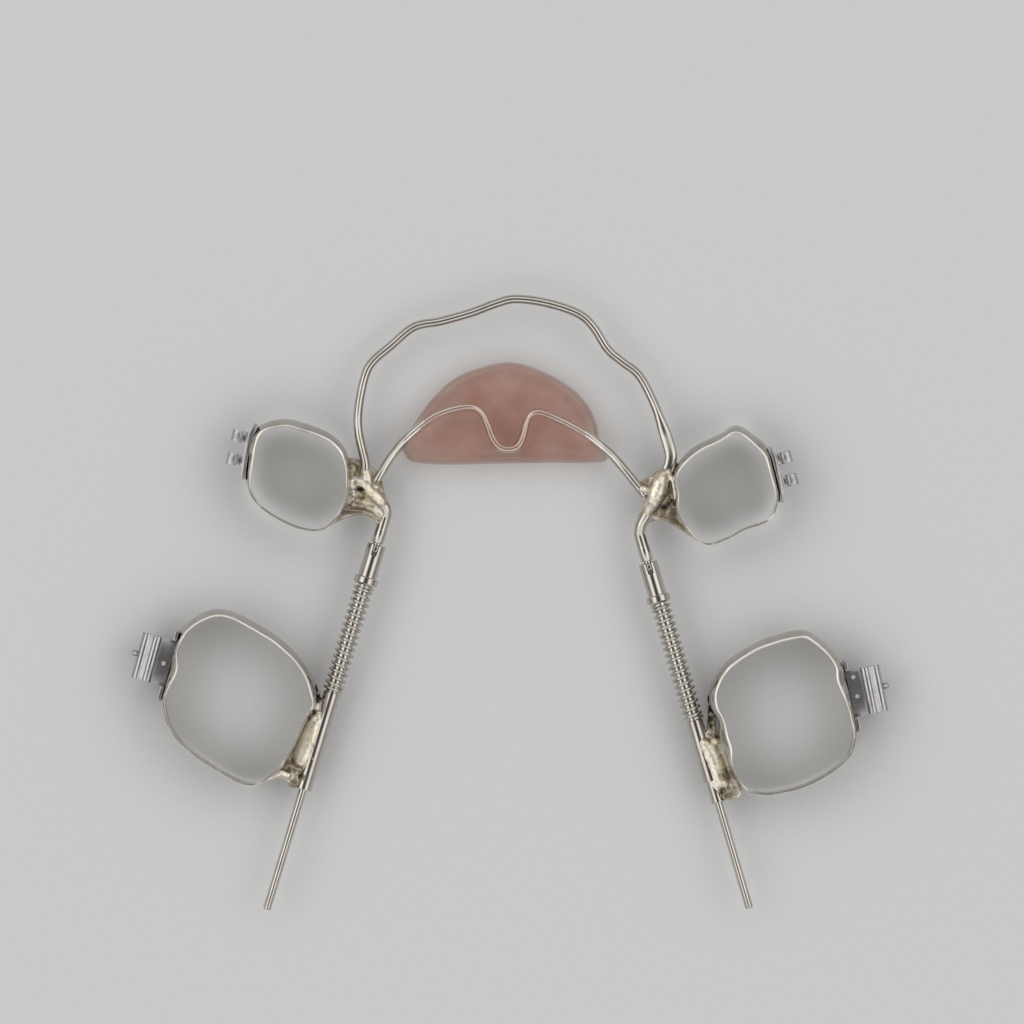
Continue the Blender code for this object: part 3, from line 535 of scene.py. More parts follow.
def node_copy(nodes: dict[str, Object], name: str) -> BMesh:
    """Copies a node's mesh and joins its loose triangles.

    Args:
        nodes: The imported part's nodes.
        name: Which one to copy.

    Returns:
        The copy.
    """
    bm = bmesh.new()
    bm.from_mesh(nodes[name].data)
    bmesh.ops.remove_doubles(bm, verts=bm.verts, dist=WELD_DISTANCE)
    return bm


def show_for(piece: Object, body: str, slot: Slot, *replaced: str) -> None:
    """Hangs a piece on its body, in place of the nodes that it stands for.

    Args:
        piece: The finished piece.
        body: The body that it moves with.
        slot: The record's material slot; not used.
        *replaced: The nodes that it stands for.
    """
    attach(piece, body)
    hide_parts(*replaced)
    LOG.info("%s: %d faces, on %s", piece.name, len(piece.data.polygons), body)


# Finishes

NOISE_SPAN = (0.3, 0.7)
WHOLE_SPAN = (0.0, 1.0)
LEAST_ROUGHNESS = 0.02


def linear_colour(hex_value: str) -> tuple[float, float, float, float]:
    """Turns an sRGB hex value into a linear colour.

    Args:
        hex_value: Six hex digits.

    Returns:
        Linear red, green, blue, and a full alpha.
    """
    shares = [int(hex_value[index : index + 2], 16) / 255 for index in (0, 2, 4)]
    red, green, blue = [
        share / 12.92 if share <= 0.04045 else ((share + 0.055) / 1.055) ** 2.4
        for share in shares
    ]
    return red, green, blue, 1.0


@dataclass(frozen=True)
class NodeSketch:
    """A node tree, with short ways to add the kinds of node that the finishes share.

    Attributes:
        tree: The node tree.
    """

    tree: NodeTree

    def add(self, kind: str, settings: dict[str | int, Any] | None = None) -> Node:
        """Adds a shader node.

        Args:
            kind: The node's type.
            settings: The node's properties and inputs by name, or an input by its number. An input
                gets a value, or the output that feeds it.

        Returns:
            The node.
        """
        node = self.tree.nodes.new(kind)
        inputs = dict(settings or {})
        for name in [name for name in inputs if isinstance(name, str) and hasattr(node, name)]:
            setattr(node, name, inputs.pop(name))
        enabled = {socket.name: socket for socket in reversed(node.inputs) if socket.enabled}
        for name, value in inputs.items():
            socket = enabled[name] if isinstance(name, str) else node.inputs[name]
            if isinstance(value, NodeSocket):
                self.tree.links.new(value, socket)
            else:
                socket.default_value = value
        return node

    def output(
        self, kind: str, settings: dict[str | int, Any] | None = None
    ) -> NodeSocket:
        """Adds a shader node and gives its first output that is in use.

        Args:
            kind: The node's type.
            settings: Its properties and inputs, as add takes them.

        Returns:
            The output.
        """
        node = self.add(kind, settings)
        return next(socket for socket in node.outputs if socket.enabled)

    def feed(self, node: Node, links: dict[str, NodeSocket]) -> None:
        """Links outputs to a node's inputs by name."""
        for name, socket in links.items():
            self.tree.links.new(socket, node.inputs[name])

    def noise(self, size: float, detail: float, roughness: float = 0.5) -> NodeSocket:
        """Adds a noise over the surface.

        Args:
            size: The size of its patches, in metres.
            detail: How many finer layers it has.
            roughness: How strong the finer layers are.

        Returns:
            Its value.
        """
        place = self.add("ShaderNodeTexCoord").outputs["Object"]
        return self.output(
            "ShaderNodeTexNoise",
            {"Scale": 1 / size, "Detail": detail, "Roughness": roughness, "Vector": place},
        )

    def remap(
        self, value: NodeSocket, span: tuple[float, float], onto: tuple[float, float]
    ) -> NodeSocket:
        """Stretches a span of values onto another one, and holds its ends.

        Args:
            value: The value.
            span: The lowest and the highest value that count.
            onto: What these two become.

        Returns:
            The new value.
        """
        ends = {"From Min": span[0], "From Max": span[1], "To Min": onto[0], "To Max": onto[1]}
        return self.output("ShaderNodeMapRange", {"Value": value, **ends})

    def blend(self, share: NodeSocket, first: Any, second: Any) -> NodeSocket:
        """Goes from one colour, or the output that gives it, to another by a share."""
        settings = {"data_type": "RGBA", "Factor": share, "A": first, "B": second}
        return self.output("ShaderNodeMix", settings)

    def ramp(
        self, value: NodeSocket, stops: Sequence[tuple[float, Sequence[float]]]
    ) -> NodeSocket:
        """Turns a value into a colour.

        Args:
            value: The value.
            stops: (value, linear colour) from low to high.

        Returns:
            The colour.
        """
        node = self.add("ShaderNodeValToRGB", {"Fac": value})
        elements = node.color_ramp.elements
        while len(elements) < len(stops):
            elements.new(0.5)
        for element, (place, colour) in zip(elements, stops):
            element.position = place
            element.color = colour
        return node.outputs[0]

    def painted(self, name: str) -> NodeSocket:
        """Reads a value that the mesh keeps at each point."""
        return self.add("ShaderNodeAttribute", {"attribute_name": name}).outputs["Fac"]

    def bump(
        self, height: NodeSocket, depth: float, strength: Any = 1.0
    ) -> NodeSocket:
        """Raises fine marks.

        Args:
            height: The marks' height, as a share of the depth.
            depth: Their depth in metres.
            strength: How much of them shows, as a value or the output that gives it.

        Returns:
            The surface's direction.
        """
        return self.output(
            "ShaderNodeBump", {"Height": height, "Distance": depth, "Strength": strength}
        )


@dataclass(frozen=True)
class Finish:
    """A finish, whose material is built once and then shared.

    Attributes:
        name: The material's name.
    """

    name: str

    def material(self) -> Material:
        """Gives the material, and builds it the first time.

        Returns:
            The material.
        """
        made = bpy.data.materials.get(self.name)
        if not made:
            made = bpy.data.materials.new(self.name)
            made.use_nodes = True
            self.paint(NodeSketch(made.node_tree), made.node_tree.nodes["Principled BSDF"])
        return made

    def paint(self, sketch: NodeSketch, shader: Node) -> None:
        """Sets up the new material, which each kind of finish does in its own way."""
        raise NotImplementedError


@dataclass(frozen=True)
class Metal(Finish):
    """A solid metal, by its colour, gloss and the marks of how it was made.

    Attributes:
        colour: sRGB hex of the clean surface.
        stain: sRGB hex of the thin film in places.
        stain_share: How much of the film shows.
        roughness: The clean surface's roughness.
        roughness_spread: How much the roughness changes from place to place.
        patch: The size of the film's patches, in metres.
        grain: The spacing of the surface's fine marks, in metres.
        grain_depth: How deep the marks are, in metres.
        satin: sRGB hex of the rougher places that the mesh marks, if it marks any; paler than the clean
            colour, a painted sheen.
        satin_roughness: The roughness there.
        film_span: The span of the patches' noise in which the film sets in.
    """

    colour: str
    stain: str
    stain_share: float
    roughness: float
    roughness_spread: float
    patch: float
    grain: float
    grain_depth: float
    satin: str | None = None
    satin_roughness: float = 0.36
    film_span: tuple[float, float] = (0.45, 0.75)

    def paint(self, sketch: NodeSketch, shader: Node) -> None:
        """Sets up the clean metal, its film, its marks and its satin places, which are rougher and
        painted paler as a painted sheen.

        Args:
            sketch: The material's node tree.
            shader: Its main shader.
        """
        shader.inputs["Metallic"].default_value = 1.0
        patches = sketch.noise(self.patch, 4.0)
        film = sketch.remap(patches, self.film_span, (0.0, self.stain_share))
        tint = sketch.blend(film, linear_colour(self.colour), linear_colour(self.stain))
        glossiest = max(self.roughness - self.roughness_spread, LEAST_ROUGHNESS)
        dullest = self.roughness + self.roughness_spread
        gloss = sketch.remap(patches, NOISE_SPAN, (glossiest, dullest))
        # Satin places: rougher, and painted paler as a painted sheen.
        if self.satin:
            satin = sketch.painted("satin")
            tint = sketch.blend(satin, tint, linear_colour(self.satin))
            gloss = sketch.output(
                "ShaderNodeMix",
                {"data_type": "FLOAT", "Factor": satin, "A": gloss, "B": self.satin_roughness},
            )
        marks = sketch.bump(sketch.noise(self.grain, 3.0), self.grain_depth)
        sketch.feed(shader, {"Base Color": tint, "Roughness": gloss, "Normal": marks})


@dataclass(frozen=True)
class FlowedSolder(Finish):
    """Silver solder: pale gold and bright on top, grey-brown in stains and as painted shade lower down,
    dark where flux burnt.

    Attributes:
        bright: sRGB hex of the smooth, well flowed metal.
        gold: sRGB hex of the paler gold patches.
        dull: sRGB hex of the grey-brown stains, and of the painted shade low on the joint.
        burnt: sRGB hex of the pits and of the flux specks.
        grain: The size of the grains, in metres.
        grain_depth: How deep the grains' bumps are, in metres.
        gold_span: The span of the broad noise in which the gold sets in.
        speck_span: The span of the grains' noise in which the specks set in.
        speck_share: How much of the specks shows.
        roughness: The roughness where it is bright, and where it is dull.
        relief: How much of the grains' bumps shows where it is bright, and where it is dull.
    """

    name: str = "silver_solder_as_flowed"
    bright: str = "F7F1E3"
    gold: str = "EDE2C8"
    dull: str = "A1937F"
    burnt: str = "37322C"
    grain: float = 0.16 * MM
    grain_depth: float = 0.028 * MM
    gold_span: tuple[float, float] = (0.42, 0.6)
    speck_span: tuple[float, float] = (0.56, 0.7)
    speck_share: float = 0.42
    roughness: tuple[float, float] = (0.36, 0.34)
    relief: tuple[float, float] = (0.8, 0.3)

    def paint(self, sketch: NodeSketch, shader: Node) -> None:
        """Sets up the flowed metal, its grey-brown stains and painted shade, its specks and its burnt
        places.

        Args:
            sketch: The material's node tree.
            shader: Its main shader.
        """
        shader.inputs["Metallic"].default_value = 1.0
        burnt, dulled = sketch.painted("burnt"), sketch.painted("dulled")
        grains = sketch.noise(self.grain, 5.0, 0.6)
        metals = (linear_colour(self.bright), linear_colour(self.gold))
        base = sketch.ramp(sketch.noise(5 * self.grain, 3.0), list(zip(self.gold_span, metals)))
        # Grey-brown where stained, and painted shade that darkens the joint the lower it lies.
        skin = sketch.blend(dulled, base, linear_colour(self.dull))
        specks = sketch.remap(grains, self.speck_span, (0.0, self.speck_share))
        dirt = sketch.output("ShaderNodeMath", {"operation": "MAXIMUM", 0: specks, 1: burnt})
        tint = sketch.blend(dirt, skin, linear_colour(self.burnt))
        gloss = sketch.remap(dulled, WHOLE_SPAN, self.roughness)
        relief = sketch.remap(dulled, WHOLE_SPAN, self.relief)
        bumps = sketch.bump(grains, self.grain_depth, relief)
        sketch.feed(shader, {"Base Color": tint, "Roughness": gloss, "Normal": bumps})


@dataclass(frozen=True)
class ClearAcrylic(Finish):
    """Cold-cured clear pink acrylic: the wire shows through it, and its skin is polished.

    Attributes:
        depth_colour: The share of red, green and blue that the body doesn't take out of the light.
        density: How strongly it takes the rest, a metre.
        clouds: sRGB hex of the milky pink clouds.
        reds: sRGB hex of the redder clouds.
        red_span: The span of the clouds' noise in which the red sets in.
        haze: The least and the most of the clouds that shows.
        ior: How strongly it bends light.
        ripple_size: The length of the skin's ripples, in metres.
        shine: How much of its reflections shows at most.
    """

    name: str = "clear_pink_acrylic"
    depth_colour: tuple[float, float, float, float] = (0.66, 0.2, 0.02, 1.0)
    density: float = 120.0
    clouds: str = "DDAD99"
    reds: str = "C8846F"
    red_span: tuple[float, float] = (0.38, 0.64)
    cloud_size: float = 2.0 * MM
    haze: tuple[float, float] = (0.08, 0.24)
    cloud_roughness: float = 0.12
    ior: float = 1.49
    ripple_size: float = 0.9 * MM
    ripple_depth: float = 0.02 * MM
    ripple_strength: float = 0.6
    polish: float = 0.06
    shine: float = 0.45

    def paint(self, sketch: NodeSketch, shader: Node) -> None:
        """Sets up the clear body with its clouds, and the polished skin over it.

        Args:
            sketch: The material's node tree.
            shader: Its main shader, which gives the clouds.
        """
        shader.inputs["Roughness"].default_value = self.cloud_roughness
        shader.inputs["IOR"].default_value = self.ior
        clouds = sketch.noise(self.cloud_size, 5.0)
        pinks = (linear_colour(self.clouds), linear_colour(self.reds))
        tint = sketch.ramp(clouds, list(zip(self.red_span, pinks)))
        ripples = sketch.noise(self.ripple_size, 2.0)
        skin = sketch.bump(ripples, self.ripple_depth, self.ripple_strength)
        sketch.feed(shader, {"Base Color": tint, "Normal": skin})
        glass = sketch.output("ShaderNodeBsdfTransparent")
        haze = sketch.remap(clouds, NOISE_SPAN, self.haze)
        body = sketch.output("ShaderNodeMixShader", {"Fac": haze, 1: glass, 2: shader.outputs[0]})
        polish = sketch.output("ShaderNodeBsdfGlossy", {"Roughness": self.polish, "Normal": skin})
        rim_light = sketch.output("ShaderNodeFresnel", {"IOR": self.ior})
        shine = sketch.remap(rim_light, WHOLE_SPAN, (0.0, self.shine))
        whole = sketch.output("ShaderNodeMixShader", {"Fac": shine, 1: body, 2: polish})
        depth = sketch.output(
            "ShaderNodeVolumeAbsorption", {"Color": self.depth_colour, "Density": self.density}
        )
        output = sketch.tree.nodes["Material Output"]
        sketch.feed(output, {"Surface": whole, "Volume": depth})


@dataclass(frozen=True)
class MattPaper(Finish):
    """Plain pale paper for the floor.

    Attributes:
        tones: sRGB hex of its two tones.
        roughness: Its roughness.
    """

    name: str = "matt_white_paper"
    tones: tuple[str, str] = ("DCDCDB", "DEDEDD")
    fibre: float = 0.5 * MM
    roughness: float = 0.9
    specular: float = 0.1

    def paint(self, sketch: NodeSketch, shader: Node) -> None:
        """Sets up the paper.

        Args:
            sketch: The material's node tree.
            shader: Its main shader.
        """
        shader.inputs["Roughness"].default_value = self.roughness
        shader.inputs["Specular IOR Level"].default_value = self.specular
        tones = [linear_colour(tone) for tone in self.tones]
        fibres = sketch.ramp(sketch.noise(self.fibre, 3.0), list(zip(NOISE_SPAN, tones)))
        sketch.feed(shader, {"Base Color": fibres})


# Stainless orthodontic wire, drawn and electropolished: mirror-like; rougher and painted paler where it
# lies in acrylic, a painted sheen
DRAWN_WIRE = Metal(
    "drawn_stainless_wire", "C9C3BB", "948A7E", 0.3, 0.11, 0.03, 1.4 * MM, 0.09 * MM, 0.0015 * MM,
    "DED6CE", 0.2,
)
# Stainless band strip, burnished onto the tooth: duller steel in streaks, and a rougher rim painted
# paler, a painted highlight along the top edge
BAND_STRIP = Metal(
    "burnished_stainless_strip", "B9B4AC", "8C8478", 0.4, 0.17, 0.07, 0.9 * MM, 0.3 * MM, 0.006 * MM,
    "E0D9CF", 0.27,
)
# Stainless tubing, turned: bright, and a little cleaner than the wire
TURNED_TUBE = Metal(
    "turned_stainless_tube", "C6C0B8", "918779", 0.25, 0.12, 0.03, 1.2 * MM, 0.08 * MM, 0.001 * MM
)
# Hard-drawn spring wire: more satin than the tube under it, and painted paler than it, painted light
# that sets the coils off against the shaded tube between them
SPRING_WIRE = Metal(
    "hard_drawn_spring_wire", "CAC4BC", "8F867A", 0.3, 0.18, 0.05, 0.8 * MM, 0.06 * MM, 0.001 * MM
)
# Cast stainless, tumbled: neutral grey, with a fine grain
CAST_STEEL = Metal(
    "tumbled_cast_stainless", "BCBABA", "8F8D8C", 0.4, 0.24, 0.05, 0.7 * MM, 0.06 * MM, 0.003 * MM
)
FLOWED_SOLDER = FlowedSolder()
CLEAR_ACRYLIC = ClearAcrylic()


def dress(piece: Object, finish: Finish) -> None:
    """Gives a piece one finish all over."""
    piece.data.materials.clear()
    piece.data.materials.append(finish.material())


# One side's hand-made sizes


@dataclass(frozen=True)
class SidePlan:
    """The sizes that differ from side to side; knots are in millimetres.

    The molar's tables are made like the premolar's.

    Attributes:
        hand: Which side it is.
        seat: Where the spring's front seat is, in the plan, in millimetres.
        heading: Which way the rod runs back, in degrees.
        arm_knots: The arm's bend.
        premolar_knots: The premolar's outline.
        buccal_place: The middle of the buccal tube's plate, in the plan, in millimetres.
        buccal_heading: Which way the plate runs, in degrees.
        buccal_dimples: Where along the buccal tube its punch marks are.
        premolar_web: The plan of the premolar solder's low web, in millimetres.
        premolar_runs: Its rounded runs, each a row of (x, y, z, radius) in millimetres.
        premolar_pits: Its burnt pits, as (x, y, z, radius) in millimetres.
        premolar_stains: Its dull places, as (x, y, radius) in millimetres.
        premolar_flares: Where the premolar band stands out, as (x, y, reach, depth) in millimetres.
    """

    hand: Handed
    seat: tuple[float, float]
    heading: float
    spring_length: float
    spring_turns: float
    tube_length: float
    guide_overhang: float
    rod_length: float
    arm_knots: Knots
    premolar_knots: Knots
    molar_knots: Knots
    buccal_place: tuple[float, float]
    buccal_heading: float
    buccal_dimples: tuple[float, ...]
    premolar_web: Knots
    premolar_runs: tuple[Knots, ...]
    premolar_pits: Knots
    premolar_stains: Knots
    molar_web: Knots
    molar_runs: tuple[Knots, ...]
    molar_pits: Knots
    molar_stains: Knots
    premolar_flares: Knots
    molar_flares: Knots

    @property
    def body(self) -> str:
        """The sliding body of this side."""
        return f"molar_unit_{self.hand.word}"

    @property
    def tooth_side(self) -> int:
        """Which way along the telescope frame's Y axis the molar lies."""
        return 1 if self.frame().col[1][0] * self.hand.value > 0 else -1

    def frame(self, along: float = 0.0) -> Matrix:
        """Gives the telescope's frame: local Z runs back along the rod, local X is up.

        Args:
            along: The distance behind the spring's front seat.

        Returns:
            The frame.
        """
        angle = math.radians(self.heading)
        back = Vector((math.cos(angle), math.sin(angle), 0.0))
        across = back.cross(UP)
        place = Vector((self.seat[0] * MM, self.seat[1] * MM, TELESCOPE_HEIGHT)) + back * along
        return Matrix.Translation(place) @ Matrix((UP, across, back)).transposed().to_4x4()


LEFT = SidePlan(
    hand=Handed.LEFT,
    seat=(-11.29, 1.35),
    heading=-106.8,
    spring_length=8.64 * MM,
    spring_turns=17.5,
    tube_length=7.8 * MM,
    guide_overhang=-0.4 * MM,
    rod_length=26.1 * MM,
    arm_knots=(
        (-12.1, 9.2, 3.1), (-11.4, 8.85, 3.1), (-10.75, 8.45, 3.0), (-10.1, 7.8, 2.85),
        (-9.68, 7.2, 2.7), (-9.65, 6.75, 2.55),
    ),
    premolar_knots=(
        (-19.1, 13.05), (-17.55, 13.5), (-16.0, 13.2), (-14.25, 12.5), (-13.2, 11.6),
        (-12.75, 10.4), (-12.7, 8.8), (-12.95, 7.5), (-13.6, 6.5), (-14.45, 5.8),
        (-15.7, 5.7), (-17.7, 6.45), (-19.3, 7.55), (-20.0, 8.7), (-20.05, 9.6),
        (-19.9, 10.6), (-19.65, 11.9),
    ),
    molar_knots=(
        (-22.5, -1.1), (-20.75, -1.65), (-18.0, -3.3), (-16.15, -5.3), (-15.3, -7.6),
        (-15.8, -8.6), (-16.5, -10.2), (-17.6, -12.25), (-19.1, -13.6), (-20.3, -13.85),
        (-21.9, -13.15), (-24.55, -11.4), (-26.15, -9.6), (-26.6, -7.75), (-26.25, -6.5),
        (-25.65, -5.2), (-25.65, -3.8), (-25.0, -2.4), (-23.75, -1.45),
    ),
    buccal_place=(-26.15, -4.9),
    buccal_heading=-105.2,
    buccal_dimples=(0.05 * MM,),
    premolar_web=(
        (-13.3, 10.9), (-12.3, 11.1), (-11.1, 10.7), (-10.15, 9.7), (-9.85, 8.7),
        (-9.6, 7.8), (-9.5, 6.9), (-9.85, 6.1), (-10.4, 6.05), (-10.75, 6.55), (-11.6, 6.75),
        (-12.9, 6.45), (-14.3, 5.75), (-13.9, 6.7), (-13.2, 8.0), (-13.1, 9.6),
    ),
    premolar_runs=(
        ((-12.2, 9.15, 3.2, 0.72), (-11.6, 9.1, 3.25, 0.64), (-10.75, 8.45, 3.1, 0.56),
         (-10.05, 7.75, 2.88, 0.51), (-9.8, 7.3, 2.75, 0.42)),
        ((-12.2, 7.6, 2.7, 0.5), (-11.4, 7.6, 2.75, 0.52), (-10.6, 7.3, 2.7, 0.5),
         (-10.15, 6.75, 2.6, 0.45)),
        ((-12.3, 10.35, 3.2, 0.5),),
        ((-12.25, 8.4, 3.1, 0.55), (-12.6, 7.6, 2.85, 0.4)),
        ((-11.2, 9.95, 3.25, 0.42), (-11.05, 9.3, 3.3, 0.45)),
        ((-10.35, 9.3, 3.0, 0.45), (-10.5, 8.9, 2.9, 0.5)),
    ),
    premolar_pits=(
        (-11.65, 8.6, 3.75, 0.42), (-12.03, 9.25, 3.9, 0.24), (-12.4, 8.35, 3.6, 0.22),
        (-12.3, 8.1, 3.5, 0.2), (-12.5, 7.4, 3.1, 0.2), (-12.7, 9.75, 3.2, 0.26),
    ),
    premolar_stains=((-12.3, 10.5, 0.7), (-10.2, 9.3, 0.7), (-11.9, 7.2, 0.9)),
    molar_web=(
        (-15.35, -7.7), (-14.5, -8.0), (-14.75, -9.6), (-15.35, -11.6), (-15.9, -13.6),
        (-16.6, -14.1), (-17.3, -13.8), (-17.5, -13.1), (-17.4, -12.3),
        (-16.4, -10.7), (-15.7, -8.9),
    ),
    molar_runs=(
        ((-15.1, -9.2, 2.45, 0.82), (-15.6, -10.6, 2.4, 0.95), (-16.2, -12.1, 2.35, 0.95)),
        ((-15.9, -12.6, 2.5, 0.55), (-16.0, -12.9, 2.45, 0.45)),
        ((-15.2, -8.1, 2.7, 0.36),), ((-14.9, -8.6, 2.75, 0.42),),
        ((-15.05, -6.4, 2.5, 0.2), (-14.95, -7.1, 2.6, 0.3), (-14.75, -7.7, 2.6, 0.34)),
        ((-16.8, -13.9, 2.4, 0.42),),
        ((-17.2, -13.3, 2.7, 0.42), (-17.75, -13.1, 3.0, 0.36), (-18.6, -13.5, 3.1, 0.24)),
    ),
    molar_pits=(
        (-16.1, -13.45, 2.9, 0.36), (-15.3, -8.4, 3.1, 0.24), (-14.9, -8.95, 3.2, 0.16),
        (-15.6, -8.9, 3.0, 0.22), (-16.45, -12.75, 3.1, 0.2), (-17.2, -12.8, 2.9, 0.24),
        (-15.0, -6.6, 2.6, 0.5), (-14.85, -7.3, 2.8, 0.5),
    ),
    molar_stains=((-16.9, -12.6, 0.8), (-16.1, -13.1, 0.6), (-15.3, -8.2, 0.5), (-16.8, -13.9, 0.5)),
    premolar_flares=((-19.6, 12.0, 0.9, 0.12),),
    molar_flares=((-15.5, -6.6, 1.2, 0.15),),
)

RIGHT = SidePlan(
    hand=Handed.RIGHT,
    seat=(11.4, -0.04),
    heading=-73.6,
    spring_length=9.43 * MM,
    spring_turns=19.0,
    tube_length=4.84 * MM,
    guide_overhang=1.73 * MM,
    rod_length=24.5 * MM,
    arm_knots=(
        (12.2, 8.2, 3.1), (11.7, 7.7, 3.1), (10.85, 7.6, 3.0), (10.35, 6.7, 2.85),
        (9.98, 6.0, 2.7), (9.85, 5.4, 2.55),
    ),
    premolar_knots=(
        (17.35, 13.0), (16.2, 12.4), (14.2, 11.4), (13.15, 10.4), (12.7, 9.4),
        (12.85, 8.2), (12.85, 7.15), (13.4, 5.9), (14.3, 4.95), (15.3, 4.6),
        (16.7, 5.1), (18.0, 5.8), (19.25, 6.2), (20.0, 6.8), (20.25, 8.2),
        (19.9, 9.6), (19.5, 11.05), (18.7, 12.0),
    ),
    molar_knots=(
        (22.25, -2.7), (20.0, -3.25), (18.4, -3.95), (16.75, -5.1), (15.85, -6.6),
        (15.8, -8.0), (16.35, -9.1), (16.85, -11.05), (17.0, -12.5), (17.95, -14.2),
        (19.3, -14.6), (21.1, -14.4), (23.35, -13.6), (25.6, -12.05), (26.3, -10.4),
        (26.1, -9.0), (25.6, -7.5), (25.05, -6.1), (24.85, -5.0), (24.2, -3.95),
        (23.2, -3.1),
    ),
    buccal_place=(26.1, -7.2),
    buccal_heading=-78.5,
    buccal_dimples=(0.1 * MM, -1.4 * MM),
    premolar_web=(
        (13.2, 10.2), (12.5, 10.7), (11.6, 10.4), (10.9, 9.8), (9.95, 9.3), (9.7, 8.6),
        (10.2, 7.6), (9.75, 6.6), (10.1, 5.85), (10.75, 6.2), (11.6, 6.35), (12.6, 5.9),
        (14.0, 5.0), (13.7, 6.0), (13.2, 7.1), (13.1, 8.6),
    ),
    premolar_runs=(
        ((11.7, 9.85, 3.2, 0.5), (11.4, 9.1, 3.25, 0.75), (11.1, 8.2, 3.2, 0.74),
         (10.75, 7.45, 3.05, 0.56), (10.4, 6.85, 2.9, 0.44)),
        ((12.1, 10.1, 3.45, 0.2), (12.45, 9.3, 3.5, 0.2), (12.6, 8.4, 3.4, 0.2),
         (12.6, 7.6, 3.1, 0.2)),
        ((10.1, 8.75, 3.1, 0.42),),
        ((13.0, 6.6, 2.6, 0.4), (13.6, 5.6, 2.5, 0.35)),
        ((12.5, 10.5, 2.7, 0.4),),
    ),
    premolar_pits=(
        (11.8, 7.35, 3.05, 0.42), (12.4, 7.8, 3.0, 0.34), (11.15, 6.85, 3.1, 0.3),
        (10.75, 6.65, 3.1, 0.2), (12.1, 7.6, 3.0, 0.36),
        (12.1, 9.0, 3.3, 0.26), (12.15, 8.5, 3.2, 0.22), (12.6, 10.55, 3.0, 0.3),
    ),
    premolar_stains=((12.6, 6.6, 1.2), (10.2, 9.4, 0.6), (12.6, 10.6, 0.6), (11.6, 7.0, 0.7)),
    molar_web=(
        (15.5, -9.9), (14.85, -10.1), (15.05, -11.6), (15.6, -13.3), (16.1, -15.0),
        (16.6, -15.2), (17.6, -14.9), (17.6, -14.2), (17.0, -13.1), (16.7, -11.6), (16.2, -10.2),
    ),
    molar_runs=(
        ((14.85, -10.9, 2.7, 0.62), (15.2, -11.3, 2.4, 0.9), (15.65, -12.4, 2.4, 0.95),
         (16.1, -13.6, 2.35, 0.9), (16.5, -14.4, 2.4, 0.6)),
        ((15.7, -10.6, 2.7, 0.45),),
        ((16.4, -14.85, 2.4, 0.35),),
        ((15.4, -7.4, 2.5, 0.26), (15.35, -8.5, 2.6, 0.34), (15.4, -9.7, 2.7, 0.4)),
    ),
    molar_pits=(
        (16.3, -14.5, 3.0, 0.26), (16.0, -12.9, 3.4, 0.16), (16.7, -14.2, 2.9, 0.2),
        (15.7, -11.8, 3.5, 0.1), (16.5, -13.3, 3.3, 0.2), (15.9, -10.2, 3.0, 0.3),
        (15.3, -7.5, 2.6, 0.5), (15.25, -8.2, 2.8, 0.5), (15.25, -8.9, 2.9, 0.5),
        (15.3, -9.5, 3.0, 0.4),
    ),
    molar_stains=((16.5, -13.3, 0.7), (16.5, -14.7, 0.8), (15.5, -10.2, 0.5)),
    premolar_flares=((18.9, 11.9, 1.0, 0.2),),
    molar_flares=((16.6, -10.6, 1.3, 0.42), (15.9, -7.6, 1.6, 0.3)),
)


# Sub-assemblies


